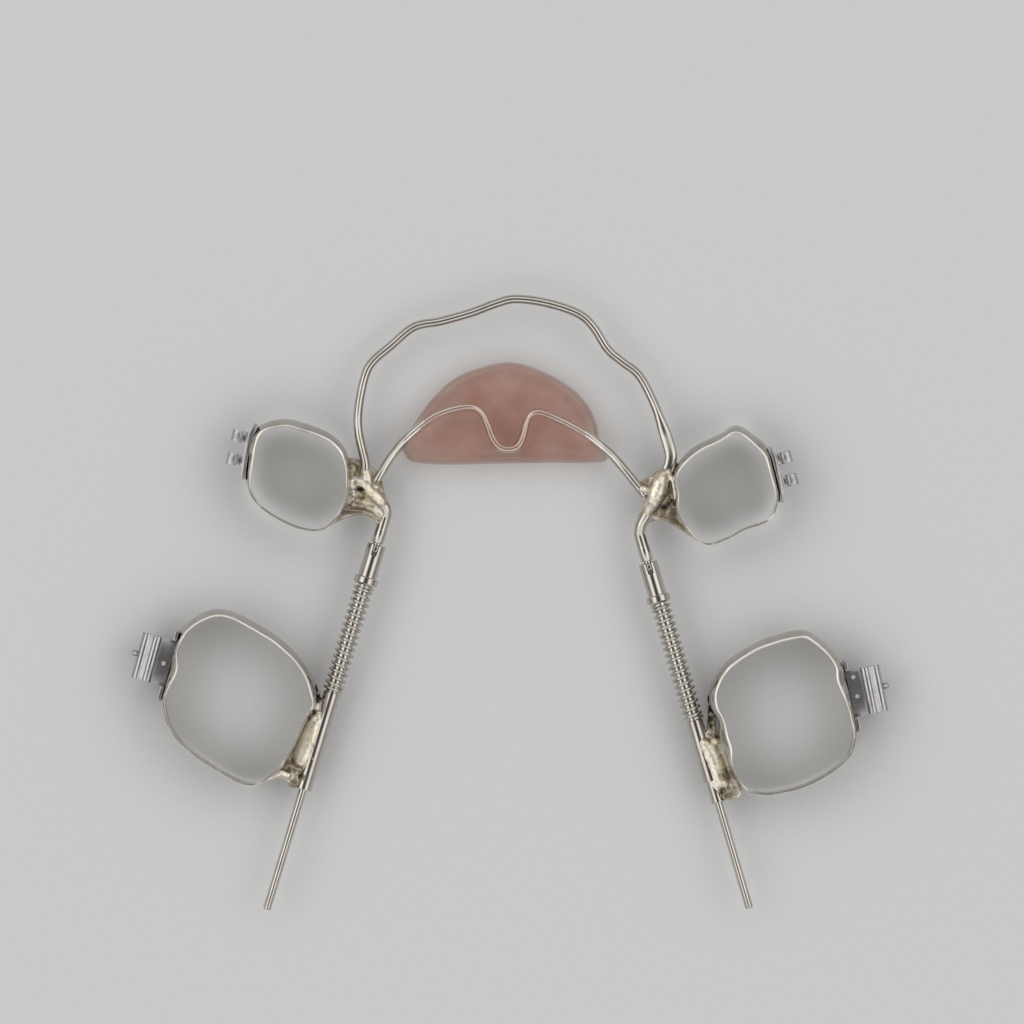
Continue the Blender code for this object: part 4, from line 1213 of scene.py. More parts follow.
@dataclass
class ToothBand:
    """A thin steel band, burnished to a tooth.

    Attributes:
        name: The piece's name.
        node: The node that it stands for.
        body: The body that it moves with.
        knots: The tooth's outline in millimetres.
        span: The heights of its lower and its upper edge.
        flares: Where the wall below the rim stands out, as (x, y, reach, depth) in millimetres.
        attachment: The node of the cast part that the wall is drawn out to.
        seed: Which pattern of ripples it has.
        wall: The strip's thickness.
        ripple: How far burnishing left the upper edge out of line.
        ripple_fade: The power by which the ripples fade below the edge.
        edge_ripple: How far the edge's height follows them, as a share.
        edge_seed: What sets the dips apart from the ripples.
        flare_ripple: How much the ripples change how far the wall stands out, as a share.
        belly: How far the wall stands out on the tooth's belly.
        belly_level: The belly's level, as a share of the height.
        shoulder: The share of the height from which the wall comes back to the tooth's outline.
        rim: The share of the height from which it is rougher and painted paler, a painted highlight
            along the top edge.
        rim_angle: The least angle in degrees of an edge that is rounded.
        most_drawn: How far the wall is drawn out to the cast part at most.
        attached_level: The height at which the cast part is looked for.
        samples: How many points the outline has.
        places: The outline's points, each with which way out is and how far the wall stands out.
        levels: The levels of its rings, as shares of the height.
    """

    name: str
    node: str
    body: str
    knots: Knots
    span: tuple[float, float]
    flares: Knots
    attachment: str
    seed: float
    wall: float = 0.18 * MM
    ripple: float = 0.09 * MM
    ripple_length: float = 1.3 * MM
    ripple_fade: int = 5
    edge_ripple: float = 0.6
    edge_length: float = 0.9 * MM
    edge_seed: float = 0.01
    flare_ripple: float = 0.3
    belly: float = 0.45 * MM
    belly_level: float = 0.4
    festoon: float = 0.5 * MM
    dip: float = 0.25 * MM
    shoulder: float = 0.89
    rim: float = 0.985
    rim_rounding: float = 0.075 * MM
    rim_angle: float = 50.0
    most_drawn: float = 0.55 * MM
    attached_level: float = 3.0 * MM
    attached_share: float = 0.6
    attached_reach: float = 1.5 * MM
    blend_points: int = 3
    samples: int = 168
    places: list[tuple[Vector, Vector, float]] = field(default_factory=list)
    levels: tuple[float, ...] = (
        0.0, 0.1, 0.25, 0.4, 0.55, 0.7, 0.82, 0.9, 0.925, 0.945, 0.96, 0.975, 0.99, 1.0,
    )

    def ring_point(self, point: Vector, normal: Vector, out: float, share: float) -> Vector:
        """Places one point of the wall's inner face.

        Args:
            point: Its place on the tooth's outline.
            normal: Which way out is there.
            out: How far the wall below the rim stands out there.
            share: Its share of the wall's height.

        Returns:
            The point.
        """
        low, high = self.span
        wave = noise.noise(Vector((*point, self.seed)) / self.ripple_length)
        rim = share**self.ripple_fade * wave * self.ripple
        below = 1 - eased((share - self.shoulder) / (1 - self.shoulder))
        stands_out = out * below * (1 + self.flare_ripple * wave)
        plan = point + normal * (self.bulge(normal, share) + rim + stands_out)
        slant = normal.y**2
        bottom = low + self.festoon * slant
        top = high - self.dip * slant
        dips = noise.noise(Vector((*point, self.seed + self.edge_seed)) / self.edge_length)
        drop = self.edge_ripple * self.ripple * (dips - 1)
        return Vector((*plan, bottom + (top - bottom) * share + drop * share**self.ripple_fade))

    def bulge(self, normal: Vector, share: float) -> float:
        """Finds how far the wall stands out on the tooth's belly, most at the front.

        Args:
            normal: Which way out is.
            share: The share of the wall's height.

        Returns:
            The distance in metres.
        """
        above = (share - self.belly_level) / (1 - self.belly_level)
        return self.belly * ((1.0 + normal.y) / 2) ** 2 * (1.0 - above**2)

    def stand_out(
        self, outline: Sequence[Vector], normals: Sequence[Vector], nodes: dict[str, Object]
    ) -> list[float]:
        """Finds how far the wall stands out below the rim: to the cast part, and at the flares.

        Args:
            outline: The tooth's outline.
            normals: Which way out is at each point.
            nodes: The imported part's nodes.

        Returns:
            One distance a point, in metres.
        """
        tree = BVHTree.FromBMesh(node_copy(nodes, self.attachment))
        gaps: list[float | None] = []
        for point, normal in zip(outline, normals):
            start = Vector((*point, self.attached_level))
            distance = tree.ray_cast(start, normal.to_3d(), self.attached_reach)[3]
            wall = self.wall + self.bulge(normal, self.attached_share)
            gaps.append(None if distance is None else max(distance - wall, 0.0))
        wanted = [min(gap or 0.0, self.most_drawn) for gap in gaps]
        steps = range(-self.blend_points, self.blend_points + 1)
        distances = []
        for index, (point, gap) in enumerate(zip(outline, gaps)):
            near = [wanted[(index + step) % len(wanted)] for step in steps]
            drawn = min(sum(near) / len(near), self.most_drawn if gap is None else gap)
            for x, y, reach, depth in self.flares:
                distance = (point - Vector((x, y)) * MM).length
                drawn += depth * MM * math.exp(-((distance / (reach * MM)) ** 2))
            distances.append(drawn)
        return distances

    def build(self, nodes: dict[str, Object]) -> None:
        """Raises the wall ring by ring, then gives it its thickness and a rounded rim.

        Args:
            nodes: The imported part's nodes.
        """
        outline = smooth_points(to_vectors(self.knots), self.samples, closed=True)
        normals = outward_normals(outline)
        self.places = list(zip(outline, normals, self.stand_out(outline, normals, nodes)))
        bm = bmesh.new()
        satin = bm.verts.layers.float.new("satin")
        ring = start_ring(bm, [self.ring_point(*place, self.levels[0]) for place in self.places])
        for share in self.levels[1:]:
            ring = raise_ring(bm, ring)
            for vert, place in zip(ring[0], self.places):
                vert.co = self.ring_point(*place, share)
                # The top edge is rougher and painted paler: a painted highlight along the rim.
                vert[satin] = float(share > self.rim)
        bmesh.ops.recalc_face_normals(bm, faces=bm.faces)
        self.turn_out(bm)
        piece = new_object(self.name, bm)
        add_modifier(piece, "SOLIDIFY", thickness=self.wall, offset=1.0, use_even_offset=True)
        add_modifier(
            piece, "BEVEL", width=self.rim_rounding, segments=3, limit_method="ANGLE",
            angle_limit=math.radians(self.rim_angle),
        )
        bake(piece, 60.0)
        dress(piece, BAND_STRIP)
        show_for(piece, self.body, Slot.STAINLESS, self.node)

    def outside(self, index: int, place: Vector) -> float:
        """Measures how far outside the wall's inner face a place is.

        Args:
            index: The outline's nearest point.
            place: The place.

        Returns:
            The distance in the plan, below zero inside the face.
        """
        low, high = self.span
        point, normal, out = self.places[index]
        share = min(max((place.z - low) / (high - low), 0.0), 1.0)
        face = self.ring_point(point, normal, out, share)
        return (place.to_2d() - face.to_2d()).dot(normal)

    @staticmethod
    def turn_out(bm: BMesh) -> None:
        """Turns the open wall's faces away from its middle.

        Args:
            bm: The wall, all its faces turned the same way.
        """
        middle = sum((vert.co for vert in bm.verts), Vector()) / len(bm.verts)
        inward = sum((face.calc_center_median() - middle).dot(face.normal) < 0 for face in bm.faces)
        if inward > len(bm.faces) / 2:
            bmesh.ops.reverse_faces(bm, faces=bm.faces)


@dataclass(frozen=True)
class SolderSkin:
    """The skin of a joint: its swells, its burnt pits and specks, its stains, and painted shade lower
    down.

    Attributes:
        pits: Burnt pits as (x, y, z, radius) in millimetres.
        stains: Dull grey-brown places as (x, y, radius) in millimetres.
        pit_edge: How far a pit darkens the metal round it, in its own radii.
        full_pit: The radius from which on a pit is fully dark.
        ragged: How far the pits' edges waver, as a share of the distance.
        swell: How far the skin swells and sinks.
        soot_start: The noise at which soot sets in.
        shade_depth: How far below the top the painted shade reaches.
        stain_edge: How far a stain reaches, in its own radii.
        mottle: How far noise shifts the edges of the stains and of the painted shade.
    """

    pits: Knots
    stains: Knots
    pit_depth: float = 0.13 * MM
    pit_edge: float = 1.35
    full_pit: float = 0.4 * MM
    ragged: float = 0.45
    ragged_length: float = 0.22 * MM
    swell: float = 0.028 * MM
    swell_length: float = 0.6 * MM
    soot_start: float = 0.3
    soot_slope: float = 3.0
    soot_share: float = 0.5
    shade_depth: float = 1.1 * MM
    shade_start: float = 0.3
    shade_length: float = 0.8 * MM
    stain_edge: float = 1.3
    mottle: float = 0.5

    def mark(self, mesh: Mesh) -> None:
        """Sinks the pits, roughens the skin and notes how burnt each point is, and how much stains and
        painted shade darken it.

        Args:
            mesh: The joint's mesh.
        """
        burnt = mesh.attributes.new("burnt", "FLOAT", "POINT")
        dulled = mesh.attributes.new("dulled", "FLOAT", "POINT")
        pits, stains = to_spots(self.pits), to_spots(self.stains)
        places = [vert.co.copy() for vert in mesh.vertices]
        normals = [vert.normal.copy() for vert in mesh.vertices]
        top = max(place.z for place in places)
        for index, (place, normal) in enumerate(zip(places, normals)):
            waver = noise.noise(place / self.ragged_length)
            dark = self.pit_darkness(place, waver, pits)
            swell = noise.fractal(place / self.swell_length, 0.9, 2.0, 4) * self.swell
            mesh.vertices[index].co = place + normal * (swell - self.pit_depth * dark)
            burnt.data[index].value = max(dark, self.soot(place))
            stained = eased(self.stain_share(place, stains) + self.mottle * waver)
            # Grey-brown stains, and painted shade that darkens the joint the lower it lies.
            dulled.data[index].value = max(self.dullness(place, top), stained)
        mesh.update()

    def pit_darkness(self, place: Vector, waver: float, pits: Spots) -> float:
        """Finds how dark the pits make a point.

        Args:
            place: The point.
            waver: The noise that makes the pits' edges ragged there.
            pits: The pits in metres.

        Returns:
            The darkness from 0 to 1.
        """
        reach = 1 + self.ragged * waver
        return max(
            eased(self.pit_edge - (place - at).length / size * reach) * min(size / self.full_pit, 1.0)
            for at, size in pits
        )

    def soot(self, place: Vector) -> float:
        """Finds how dark the soot is at a point."""
        patch = noise.noise(place / self.swell_length) - self.soot_start
        return eased(patch * self.soot_slope) * self.soot_share

    def stain_share(self, place: Vector, stains: Spots) -> float:
        """Finds how far inside the nearest stain a point is, in the plan and in its radii."""
        return max(self.stain_edge - (place.to_2d() - at).length / size for at, size in stains)

    def dullness(self, place: Vector, top: float) -> float:
        """Paints shade: the further a point lies below the joint's top, the darker it is."""
        waver = self.mottle * noise.noise(place / self.shade_length)
        return eased((top - place.z) / self.shade_depth + waver - self.shade_start)


@dataclass
class SolderJoint:
    """A solder joint as it set: a low web with rounded runs of metal over it, and burnt pits.

    Attributes:
        name: The piece's name.
        node: The node that it stands for.
        body: The body that it moves with.
        web: The plan of the low web, in millimetres.
        web_span: The web's lowest and highest level.
        runs: Rounded runs, each a row of (x, y, z, radius) in millimetres.
        skin: How its skin set.
        band: The band that it holds, which has been built.
        axis: The telescope's frame, when the joint keeps out of its tube.
        tube_radius: How far from that axis the joint starts.
        tube_side: Which way along the frame's Y axis the joint lies.
        voxel: The grain of the melted mesh.
        smoothing: How often the melted mesh is smoothed, before and after its first fitting.
        wall_lap: How far outside the band's inner face the joint stays.
    """

    name: str
    node: str
    body: str
    web: Knots
    web_span: tuple[float, float]
    runs: tuple[Knots, ...]
    skin: SolderSkin
    band: ToothBand
    axis: Matrix | None = None
    tube_radius: float = 0.0
    tube_side: float = 1.0
    tube_lap: float = 0.24 * MM
    bead_spacing: float = 0.1 * MM
    voxel: float = 0.055 * MM
    smoothing: tuple[int, int] = (12, 4)
    wall_lap: float = 0.14 * MM
    web_samples: int = 96

    def build(self) -> None:
        """Melts the web and its runs together, fits them, marks the skin and dresses the joint."""
        outline = smooth_points(to_vectors(self.web), self.web_samples, closed=True)
        low, high = self.web_span
        bm = plate_bmesh([outline], high - low)
        shift(bm, (0.0, 0.0, (low + high) / 2))
        for place, radius in self.beads():
            at = Matrix.Translation(place)
            bmesh.ops.create_icosphere(bm, subdivisions=3, radius=radius, matrix=at)
        piece = new_object(self.name, bm)
        add_modifier(piece, "REMESH", mode="VOXEL", voxel_size=self.voxel, use_smooth_shade=True)
        for rounds in self.smoothing:
            add_modifier(piece, "SMOOTH", factor=0.5, iterations=rounds)
            bake(piece, 80.0)
            self.keep_out(piece)
        self.skin.mark(piece.data)
        dress(piece, FLOWED_SOLDER)
        show_for(piece, self.body, Slot.SOLDER, self.node)

    def beads(self) -> Spots:
        """Lists the beads of all the runs, close enough to melt into one.

        Returns:
            Each bead's centre and radius, in metres.
        """
        beads = []
        for run in self.runs:
            stops = to_spots(run)
            beads.append(stops[0])
            for (start, wide), (end, narrow) in zip(stops, stops[1:]):
                steps = max(math.ceil((end - start).length / self.bead_spacing), 1)
                for step in range(1, steps + 1):
                    share = step / steps
                    beads.append((start.lerp(end, share), wide + (narrow - wide) * share))
        return beads

    def keep_out(self, piece: Object) -> None:
        """Moves the skin out of the band's inside and out of the tube.

        Args:
            piece: The joint.
        """
        places = self.band.places
        tree = nearest_tree([point.to_3d() for point, _, _ in places])
        to_axis = self.axis.inverted() if self.axis else None
        for vert in piece.data.vertices:
            index = tree.find((vert.co.x, vert.co.y, 0.0))[1]
            short = self.wall_lap - self.band.outside(index, vert.co)
            if short > 0:
                vert.co += (places[index][1] * short).to_3d()
            if to_axis:
                vert.co = self.axis @ self.beside_tube(to_axis @ vert.co)

    def beside_tube(self, local: Vector) -> Vector:
        """Moves a point out of the tube: up from its upper half, to the joint's side below it.

        Args:
            local: The point in the telescope's frame.

        Returns:
            Where it goes, in the same frame.
        """
        aside = max(local.y * self.tube_side, -self.tube_lap)
        level = local.x
        if level > 0:
            level = max(level, math.sqrt(max(self.tube_radius**2 - aside**2, 0.0)))
        else:
            aside = max(aside, math.sqrt(max(self.tube_radius**2 - level**2, 0.0)))
        return Vector((level, self.tube_side * aside, local.z))


@dataclass
class CoilTelescope:
    """The arm, slotted sleeve, guide tube, rod, spring and palatal tube of one side.

    Attributes:
        plan: The side's sizes.
        arm_leads: How far before the collar the arm is already straight, in millimetres.
        buried_knots: How many of the arm's first knots lie in the solder, and are left out.
        spring_wire: The room for the spring's wire along the telescope.
        squeeze_spread: How far past the spring's ends two places on the axis are taken.
    """

    plan: SidePlan
    arm_diameter: float = 0.9 * MM
    collar_diameter: float = 0.95 * MM
    collar_length: float = 1.06 * MM
    collar_edge: float = 0.03 * MM
    collar_ease: float = 0.96
    neck_diameter: float = 0.64 * MM
    neck_length: float = 0.12 * MM
    plug_length: float = 0.62 * MM
    arm_leads: tuple[float, float] = (0.9, 0.1)
    arm_samples: int = 90
    arm_sides: int = 32
    buried_knots: int = 2
    key_width: float = 0.4 * MM
    key_length: float = 0.5 * MM
    key_recess: float = 0.12 * MM
    key_setback: float = 0.1 * MM
    key_edge: float = 0.11 * MM
    sleeve_diameter: float = 1.46 * MM
    sleeve_length: float = 3.23 * MM
    sleeve_edge: float = 0.06 * MM
    slot_length: float = 0.9 * MM
    flange_diameter: float = 1.86 * MM
    flange_thickness: float = 0.6 * MM
    flange_edge: float = 0.14 * MM
    turned_edge: float = 0.03 * MM
    guide_diameter: float = 1.04 * MM
    guide_seat: float = 1.2 * MM
    guide_edge: float = 0.05 * MM
    rod_diameter: float = 0.62 * MM
    rod_inset: float = 0.01 * MM
    tube_wall: float = 0.1 * MM
    tube_edge: float = 0.03 * MM
    gap: float = 0.03 * MM
    spring_wire: float = 0.2 * MM
    spring_show: float = 0.25 * MM
    spring_diameter: float = 1.6 * MM
    spring_end_pitch: float = 0.26 * MM
    spring_points: int = 44
    spring_sides: int = 12
    squeeze_spread: float = 0.8 * MM

    @property
    def word(self) -> str:
        """The side's name."""
        return self.plan.hand.word

    def build(self) -> None:
        """Builds and dresses all the pieces of the telescope."""
        self.build_arm()
        self.build_sleeve()
        self.build_guide_tube()
        self.build_rod()
        self.build_spring()
        self.build_palatal_tube()

    def placed(
        self, name: str, bm: BMesh, finish: Metal, smooth_angle: float = 30.0
    ) -> Object:
        """Puts a piece made on the axis in its place and dresses it.

        Args:
            name: The piece's name.
            bm: Its mesh in the telescope's frame.
            finish: Its finish.
            smooth_angle: The sharpest angle in degrees that is shaded smooth.

        Returns:
            The piece.
        """
        carry(bm, self.plan.frame())
        piece = new_object(name, bm, smooth_angle)
        dress(piece, finish)
        return piece

    def build_arm(self) -> None:
        """Builds the bent arm with its collar, neck, plug and key."""
        frame = self.plan.frame()
        mouth = -self.sleeve_length
        neck = mouth - self.neck_length
        collar = neck - self.collar_length
        edge = self.collar_edge
        leads = [frame @ Vector((0.0, 0.0, collar - lead * MM)) for lead in self.arm_leads]
        bend = to_vectors(self.plan.arm_knots[self.buried_knots :])
        path = smooth_points(bend + leads, self.arm_samples)
        radii = [self.arm_diameter / 2] * len(path)
        stations = (
            (collar, self.collar_diameter), (collar + edge, self.collar_diameter),
            (neck - 2 * edge, self.collar_diameter),
            (neck - edge, self.collar_diameter * self.collar_ease),
            (neck, self.neck_diameter), (mouth + self.plug_length, self.neck_diameter),
        )
        path += [frame @ Vector((0.0, 0.0, place)) for place, _ in stations]
        radii += [diameter / 2 for _, diameter in stations]
        bm = tube_bmesh(path, radii, self.arm_sides)
        merge(bm, self.key())
        piece = new_object(f"{self.word}_arm", bm, 35.0)
        dress(piece, DRAWN_WIRE)
        show_for(piece, ANCHORAGE, Slot.STAINLESS, f"distal_arm_{self.word}")

    def key(self) -> BMesh:
        """Makes the key that stands up from the arm's plug in the sleeve's slot.

        Returns:
            The key in the part's frame.
        """
        top = self.sleeve_diameter / 2 - self.key_recess
        key = box_bmesh((top, self.key_width, self.key_length))
        round_edges(key, self.key_edge, 60.0, 4)
        shift(key, (top / 2, 0.0, self.key_setback + self.key_length / 2 - self.sleeve_length))
        carry(key, self.plan.frame())
        return key

    def build_sleeve(self) -> None:
        """Turns the sleeve with its flange and cuts the slot."""
        outer, flange = self.sleeve_diameter / 2, self.flange_diameter / 2
        front, back = -self.sleeve_length, -self.flange_thickness
        socket = self.neck_diameter / 2 + self.gap
        socket_end = front + max(self.plug_length, self.slot_length) + self.gap
        bore = self.guide_diameter / 2 + self.gap
        bottom = -self.guide_seat - self.gap
        edge, chamfer, step = self.sleeve_edge, self.flange_edge, self.turned_edge
        profile = (
            (flange - chamfer, 0.0), (flange, -chamfer), (flange, back + step),
            (flange - step, back), (outer + step, back), (outer, back - step),
            (outer, front + edge), (outer - edge, front), (socket + step, front),
            (socket, front + step), (socket, socket_end), (0.0, socket_end),
            (0.0, bottom), (bore, bottom), (bore, 0.0),
        )
        bm = turned_bmesh(profile, closed=True)
        piece = self.placed(f"{self.word}_spring_sleeve", bm, TURNED_TUBE, 20.0)
        slot = box_bmesh((outer, self.key_width + 2 * self.gap, self.slot_length * 2))
        shift(slot, ((socket + outer) / 2, 0.0, front))
        carry(slot, self.plan.frame())
        cut_out(piece, slot, 20.0)
        dress(piece, TURNED_TUBE)
        show_for(piece, ANCHORAGE, Slot.STAINLESS, f"spring_sleeve_{self.word}")

    def build_guide_tube(self) -> None:
        """Turns the guide tube that the palatal tube slides on."""
        plan = self.plan
        end = plan.spring_length + plan.tube_length + plan.guide_overhang
        outer = self.guide_diameter / 2
        bore = self.rod_diameter / 2 + self.gap
        edge = self.guide_edge
        profile = (
            (outer, -self.guide_seat), (bore, -self.guide_seat), (bore, end - edge / 2),
            (bore + edge / 2, end), (outer - edge, end), (outer, end - edge),
        )
        piece = self.placed(f"{self.word}_guide_tube", turned_bmesh(profile, closed=True), TURNED_TUBE)
        show_for(piece, ANCHORAGE, Slot.STAINLESS, f"guide_tube_{self.word}")

    def build_rod(self) -> None:
        """Turns the thin rod with its rounded end."""
        radius = self.rod_diameter / 2
        start, end = self.gap - self.guide_seat, self.plan.rod_length - self.rod_inset
        edge = radius / 3
        rounded = arc((radius - edge, end - edge), edge, 0, 90, 4)
        profile = [(0.0, start), (radius, start), *rounded, (0.0, end)]
        piece = self.placed(f"{self.word}_guide_rod", turned_bmesh(profile, closed=False), DRAWN_WIRE)
        show_for(piece, ANCHORAGE, Slot.STAINLESS, f"guide_rod_{self.word}")

    def build_spring(self) -> None:
        """Winds the spring between the seat and the sliding tube, dresses it and hides the imported
        spring.
        """
        plan = self.plan
        wire, end_pitch = self.spring_wire, self.spring_end_pitch
        length = plan.spring_length - 2 * self.gap - wire
        open_turns = plan.spring_turns - 2
        open_pitch = (length - 2 * end_pitch) / open_turns
        radius = (self.spring_diameter - self.spring_show) / 2
        count = round(plan.spring_turns * self.spring_points)
        path = []
        for index in range(count + 1):
            turn = plan.spring_turns * index / count
            place = self.gap + wire / 2 + min(turn, 1.0) * end_pitch
            place += min(max(turn - 1.0, 0.0), open_turns) * open_pitch
            place += max(turn - 1.0 - open_turns, 0.0) * end_pitch
            angle = math.tau * turn * plan.hand.value
            path.append(Vector((radius * math.cos(angle), radius * math.sin(angle), place)))
        bm = tube_bmesh(path, [self.spring_show / 2] * len(path), self.spring_sides)
        piece = self.placed(f"{self.word}_coil_spring", bm, SPRING_WIRE)
        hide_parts(f"coil_spring_{self.word}")
        start = plan.frame(-self.squeeze_spread) @ Vector()
        end = plan.frame(plan.spring_length + self.squeeze_spread) @ Vector()
        plan.body
        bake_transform(piece)
        faces = len(piece.data.polygons)
        LOG.info("%s: %d faces, from %s to %s", piece.name, faces, ANCHORAGE, plan.body)

    def build_palatal_tube(self) -> None:
        """Turns the tube that slides on the guide tube."""
        plan = self.plan
        bore = self.guide_diameter / 2 + self.gap
        outer = bore + self.tube_wall
        start, end = plan.spring_length, plan.spring_length + plan.tube_length
        edge = self.tube_edge
        profile = (
            (outer - edge, start), (bore, start), (bore, end), (outer - edge, end),
            (outer, end - edge), (outer, start + edge),
        )
        piece = self.placed(f"{self.word}_palatal_tube", turned_bmesh(profile, closed=True), TURNED_TUBE)
        show_for(piece, plan.body, Slot.STAINLESS, f"palatal_tube_{self.word}")


@dataclass
class CastAttachment:
    """A small cast part welded to a band: the node's form with its edges rounded.

    Attributes:
        name: The piece's name.
        node: The node that it stands for.
        body: The body that it moves with.
        edge: How wide its edges are rounded.
    """

    name: str
    node: str
    body: str
    edge: float = 0.05 * MM

    def build(self, nodes: dict[str, Object]) -> None:
        """Copies the node's form, rounds its edges and dresses it.

        Args:
            nodes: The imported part's nodes.
        """
        bm = node_copy(nodes, self.node)
        join_flat_faces(bm, 2.0)
        round_edges(bm, self.edge, 35.0, 2)
        piece = new_object(self.name, bm, 35.0)
        dress(piece, CAST_STEEL)
        show_for(piece, self.body, Slot.CAST, self.node)


@dataclass
class BuccalTube:
    """The cast tube on the cheek side of the molar band: plate, ridged body and ball hook.

    Attributes:
        plan: The side's sizes.
        plate: The base plate's thickness, height and length.
        plate_step: How far the plate's low middle lies below the block's top.
        root: How deep the body starts in the plate.
        bedding: How far the plate is bedded into the band's wall.
        wall: The band's wall.
        belly: How far the band stands out on its belly.
        block_share: The share of the block's height above its middle line.
        ridge_out: How far out of the block the first ridge lies, as a share of its radius.
        ridge_level: The first ridge's height, as a share of the block's.
        ridge_drop: How far the second ridge lies lower, as a share of its radius.
        first_arc: Where the first ridge's round starts and ends, in degrees.
        second_arc: Where the second ridge's round starts and ends.
        flank_drop: How far down the outer flank runs straight, as a share of the lower half.
        flank_slant: How far the flank then slants in, as a share of the ridges' radius.
        slot_size: The archwire slot's depth and height.
        level: The height of the body's middle line.
        hook_reach: How far out of the flank the ball's centre lies.
        punch_out: How far out from the plate's back the marks are.
        band_samples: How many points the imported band's outline has.
    """

    plan: SidePlan
    plate: tuple[float, float, float] = (0.3 * MM, 3.0 * MM, 5.6 * MM)
    plate_edge: float = 0.07 * MM
    plate_step: float = 0.06 * MM
    body_length: float = 3.6 * MM
    body_shift: float = 0.15 * MM
    body_edge: float = 0.06 * MM
    root: float = 0.02 * MM
    bedding: float = 0.07 * MM
    wall: float = 0.18 * MM
    belly: float = 0.45 * MM
    block_width: float = 0.85 * MM
    block_height: float = 1.9 * MM
    block_share: float = 0.38
    ridge_radius: float = 0.4 * MM
    ridge_spacing: float = 0.78 * MM
    ridge_out: float = 0.9
    ridge_level: float = 0.36
    ridge_drop: float = 0.3
    first_arc: tuple[float, float] = (150.0, 40.0)
    second_arc: tuple[float, float] = (125.0, -10.0)
    flank_drop: float = 0.4
    flank_slant: float = 0.6
    slot_size: tuple[float, float] = (0.71 * MM, 0.56 * MM)
    bow_bore: float = 1.14 * MM
    bow_steps: int = 48
    level: float = TELESCOPE_HEIGHT
    ball: float = 0.5 * MM
    stem: float = 0.3 * MM
    hook_reach: float = 0.19 * MM
    hook_shift: float = 0.25 * MM
    hook_steps: int = 16
    punch: float = 0.3 * MM
    punch_out: float = 0.57 * MM
    punch_lift: float = 0.22 * MM
    band_samples: int = 38

    @property
    def block_top(self) -> float:
        """The height of the block's top in the section."""
        return self.block_height * self.block_share

    def frame(self) -> Matrix:
        """Finds the plate's place on the band: local X away from it, Y up, Z along it.

        Returns:
            The frame.
        """
        plan = self.plan
        angle = math.radians(plan.buccal_heading)
        along = Vector((math.cos(angle), math.sin(angle), 0.0)) * plan.hand.value
        out = Vector((-along.y, along.x))
        middle = Vector(plan.buccal_place) * MM
        outline = smooth_points(to_vectors(plan.molar_knots), self.band_samples, closed=True)
        beside = [
            (point + normal * self.belly * ((1 + normal.y) / 2) ** 2 - middle).dot(out)
            for point, normal in zip(outline, outward_normals(outline))
            if (point - middle).length < self.plate[2] / 2 + MM
        ]
        place = middle + out * (max(beside) + self.wall - self.bedding)
        turn = Matrix((UP.cross(along), UP, along)).transposed().to_4x4()
        return Matrix.Translation((*place, self.level)) @ turn

    def ridges(self) -> tuple[Vector, Vector]:
        """Gives the middles of the two ridges in the section.

        Returns:
            The ridge beside the block, and the outer one.
        """
        block = self.plate[0] + self.block_width
        out = block + self.ridge_radius * self.ridge_out
        first = Vector((out, self.block_height * self.ridge_level))
        return first, first + Vector((self.ridge_spacing, -self.ridge_radius * self.ridge_drop))

    def section(self) -> list[list[Sequence[float]]]:
        """Draws the body's section with its two bores, as (out, up).

        Returns:
            The edge, the archwire slot and the bow's bore.
        """
        block = self.plate[0] + self.block_width
        high = self.block_top
        low = high - self.block_height
        first, second = self.ridges()
        flank = second.x + self.ridge_radius
        outer: list[Sequence[float]] = [(self.root, low), (self.root, high), (block, high)]
        outer += arc(first, self.ridge_radius, *self.first_arc, 12)
        outer += arc(second, self.ridge_radius, *self.second_arc, 14)
        outer += [
            (flank, low * self.flank_drop), (flank - self.ridge_radius * self.flank_slant, low)
        ]
        wide, tall = self.slot_size
        middle = Vector((self.plate[0] + self.block_width / 2, (low + high) / 2))
        corners = ((-1, -1), (1, -1), (1, 1), (-1, 1))
        slot = [(middle.x + wide / 2 * x, middle.y + tall / 2 * y) for x, y in corners]
        bow = Vector(((first.x + second.x) / 2, middle.y))
        return [outer, slot, arc(bow, self.bow_bore / 2, 0, 360, self.bow_steps)[:-1]]

    def build(self) -> None:
        """Joins the plate, the body and the hook, marks the block and dresses it."""
        plan = self.plan
        body = plate_bmesh(self.section(), self.body_length)
        shift(body, (0.0, 0.0, -plan.hand.value * self.body_shift))
        round_edges(body, self.body_edge, 50.0, 3)
        marked = new_object("body", body, 30.0)
        for place in plan.buccal_dimples:
            cut_out(marked, self.punch_form(place), 30.0)
        bm = self.base_plate()
        bm.from_mesh(marked.data)
        bpy.data.objects.remove(marked)
        merge(bm, self.hook())
        carry(bm, self.frame())
        word = plan.hand.word
        whole = new_object(f"{word}_buccal_tube", bm, 30.0)
        dress(whole, CAST_STEEL)
        show_for(whole, plan.body, Slot.CAST, f"buccal_tube_{word}")

    def base_plate(self) -> BMesh:
        """Cuts the base plate, which is low behind the block and stands up in a tab at each end.

        Returns:
            The plate in its own frame.
        """
        thick, tall, long = self.plate
        middle = -self.plan.hand.value * self.body_shift
        near, far = middle - self.body_length / 2, middle + self.body_length / 2
        top, low = tall / 2, self.block_top - self.plate_step
        outline = [
            (-top, -long / 2), (-top, long / 2), (top, long / 2), (top, far), (low, far),
            (low, near), (top, near), (top, -long / 2),
        ]
        plate = plate_bmesh([outline], thick)
        round_edges(plate, self.plate_edge, 60.0, 3)
        carry(plate, Matrix(((0, 0, 1, thick / 2), (1, 0, 0, 0), (0, 1, 0, 0), (0, 0, 0, 1))))
        return plate

    def punch_form(self, place: float) -> BMesh:
        """Makes the ball that presses one mark into the block's top.

        Args:
            place: Where along the tube the mark is.

        Returns:
            The ball in the plate's frame.
        """
        punch = bmesh.new()
        bmesh.ops.create_icosphere(punch, subdivisions=4, radius=self.punch)
        shift(punch, (self.punch_out, self.block_top + self.punch_lift, place))
        return punch

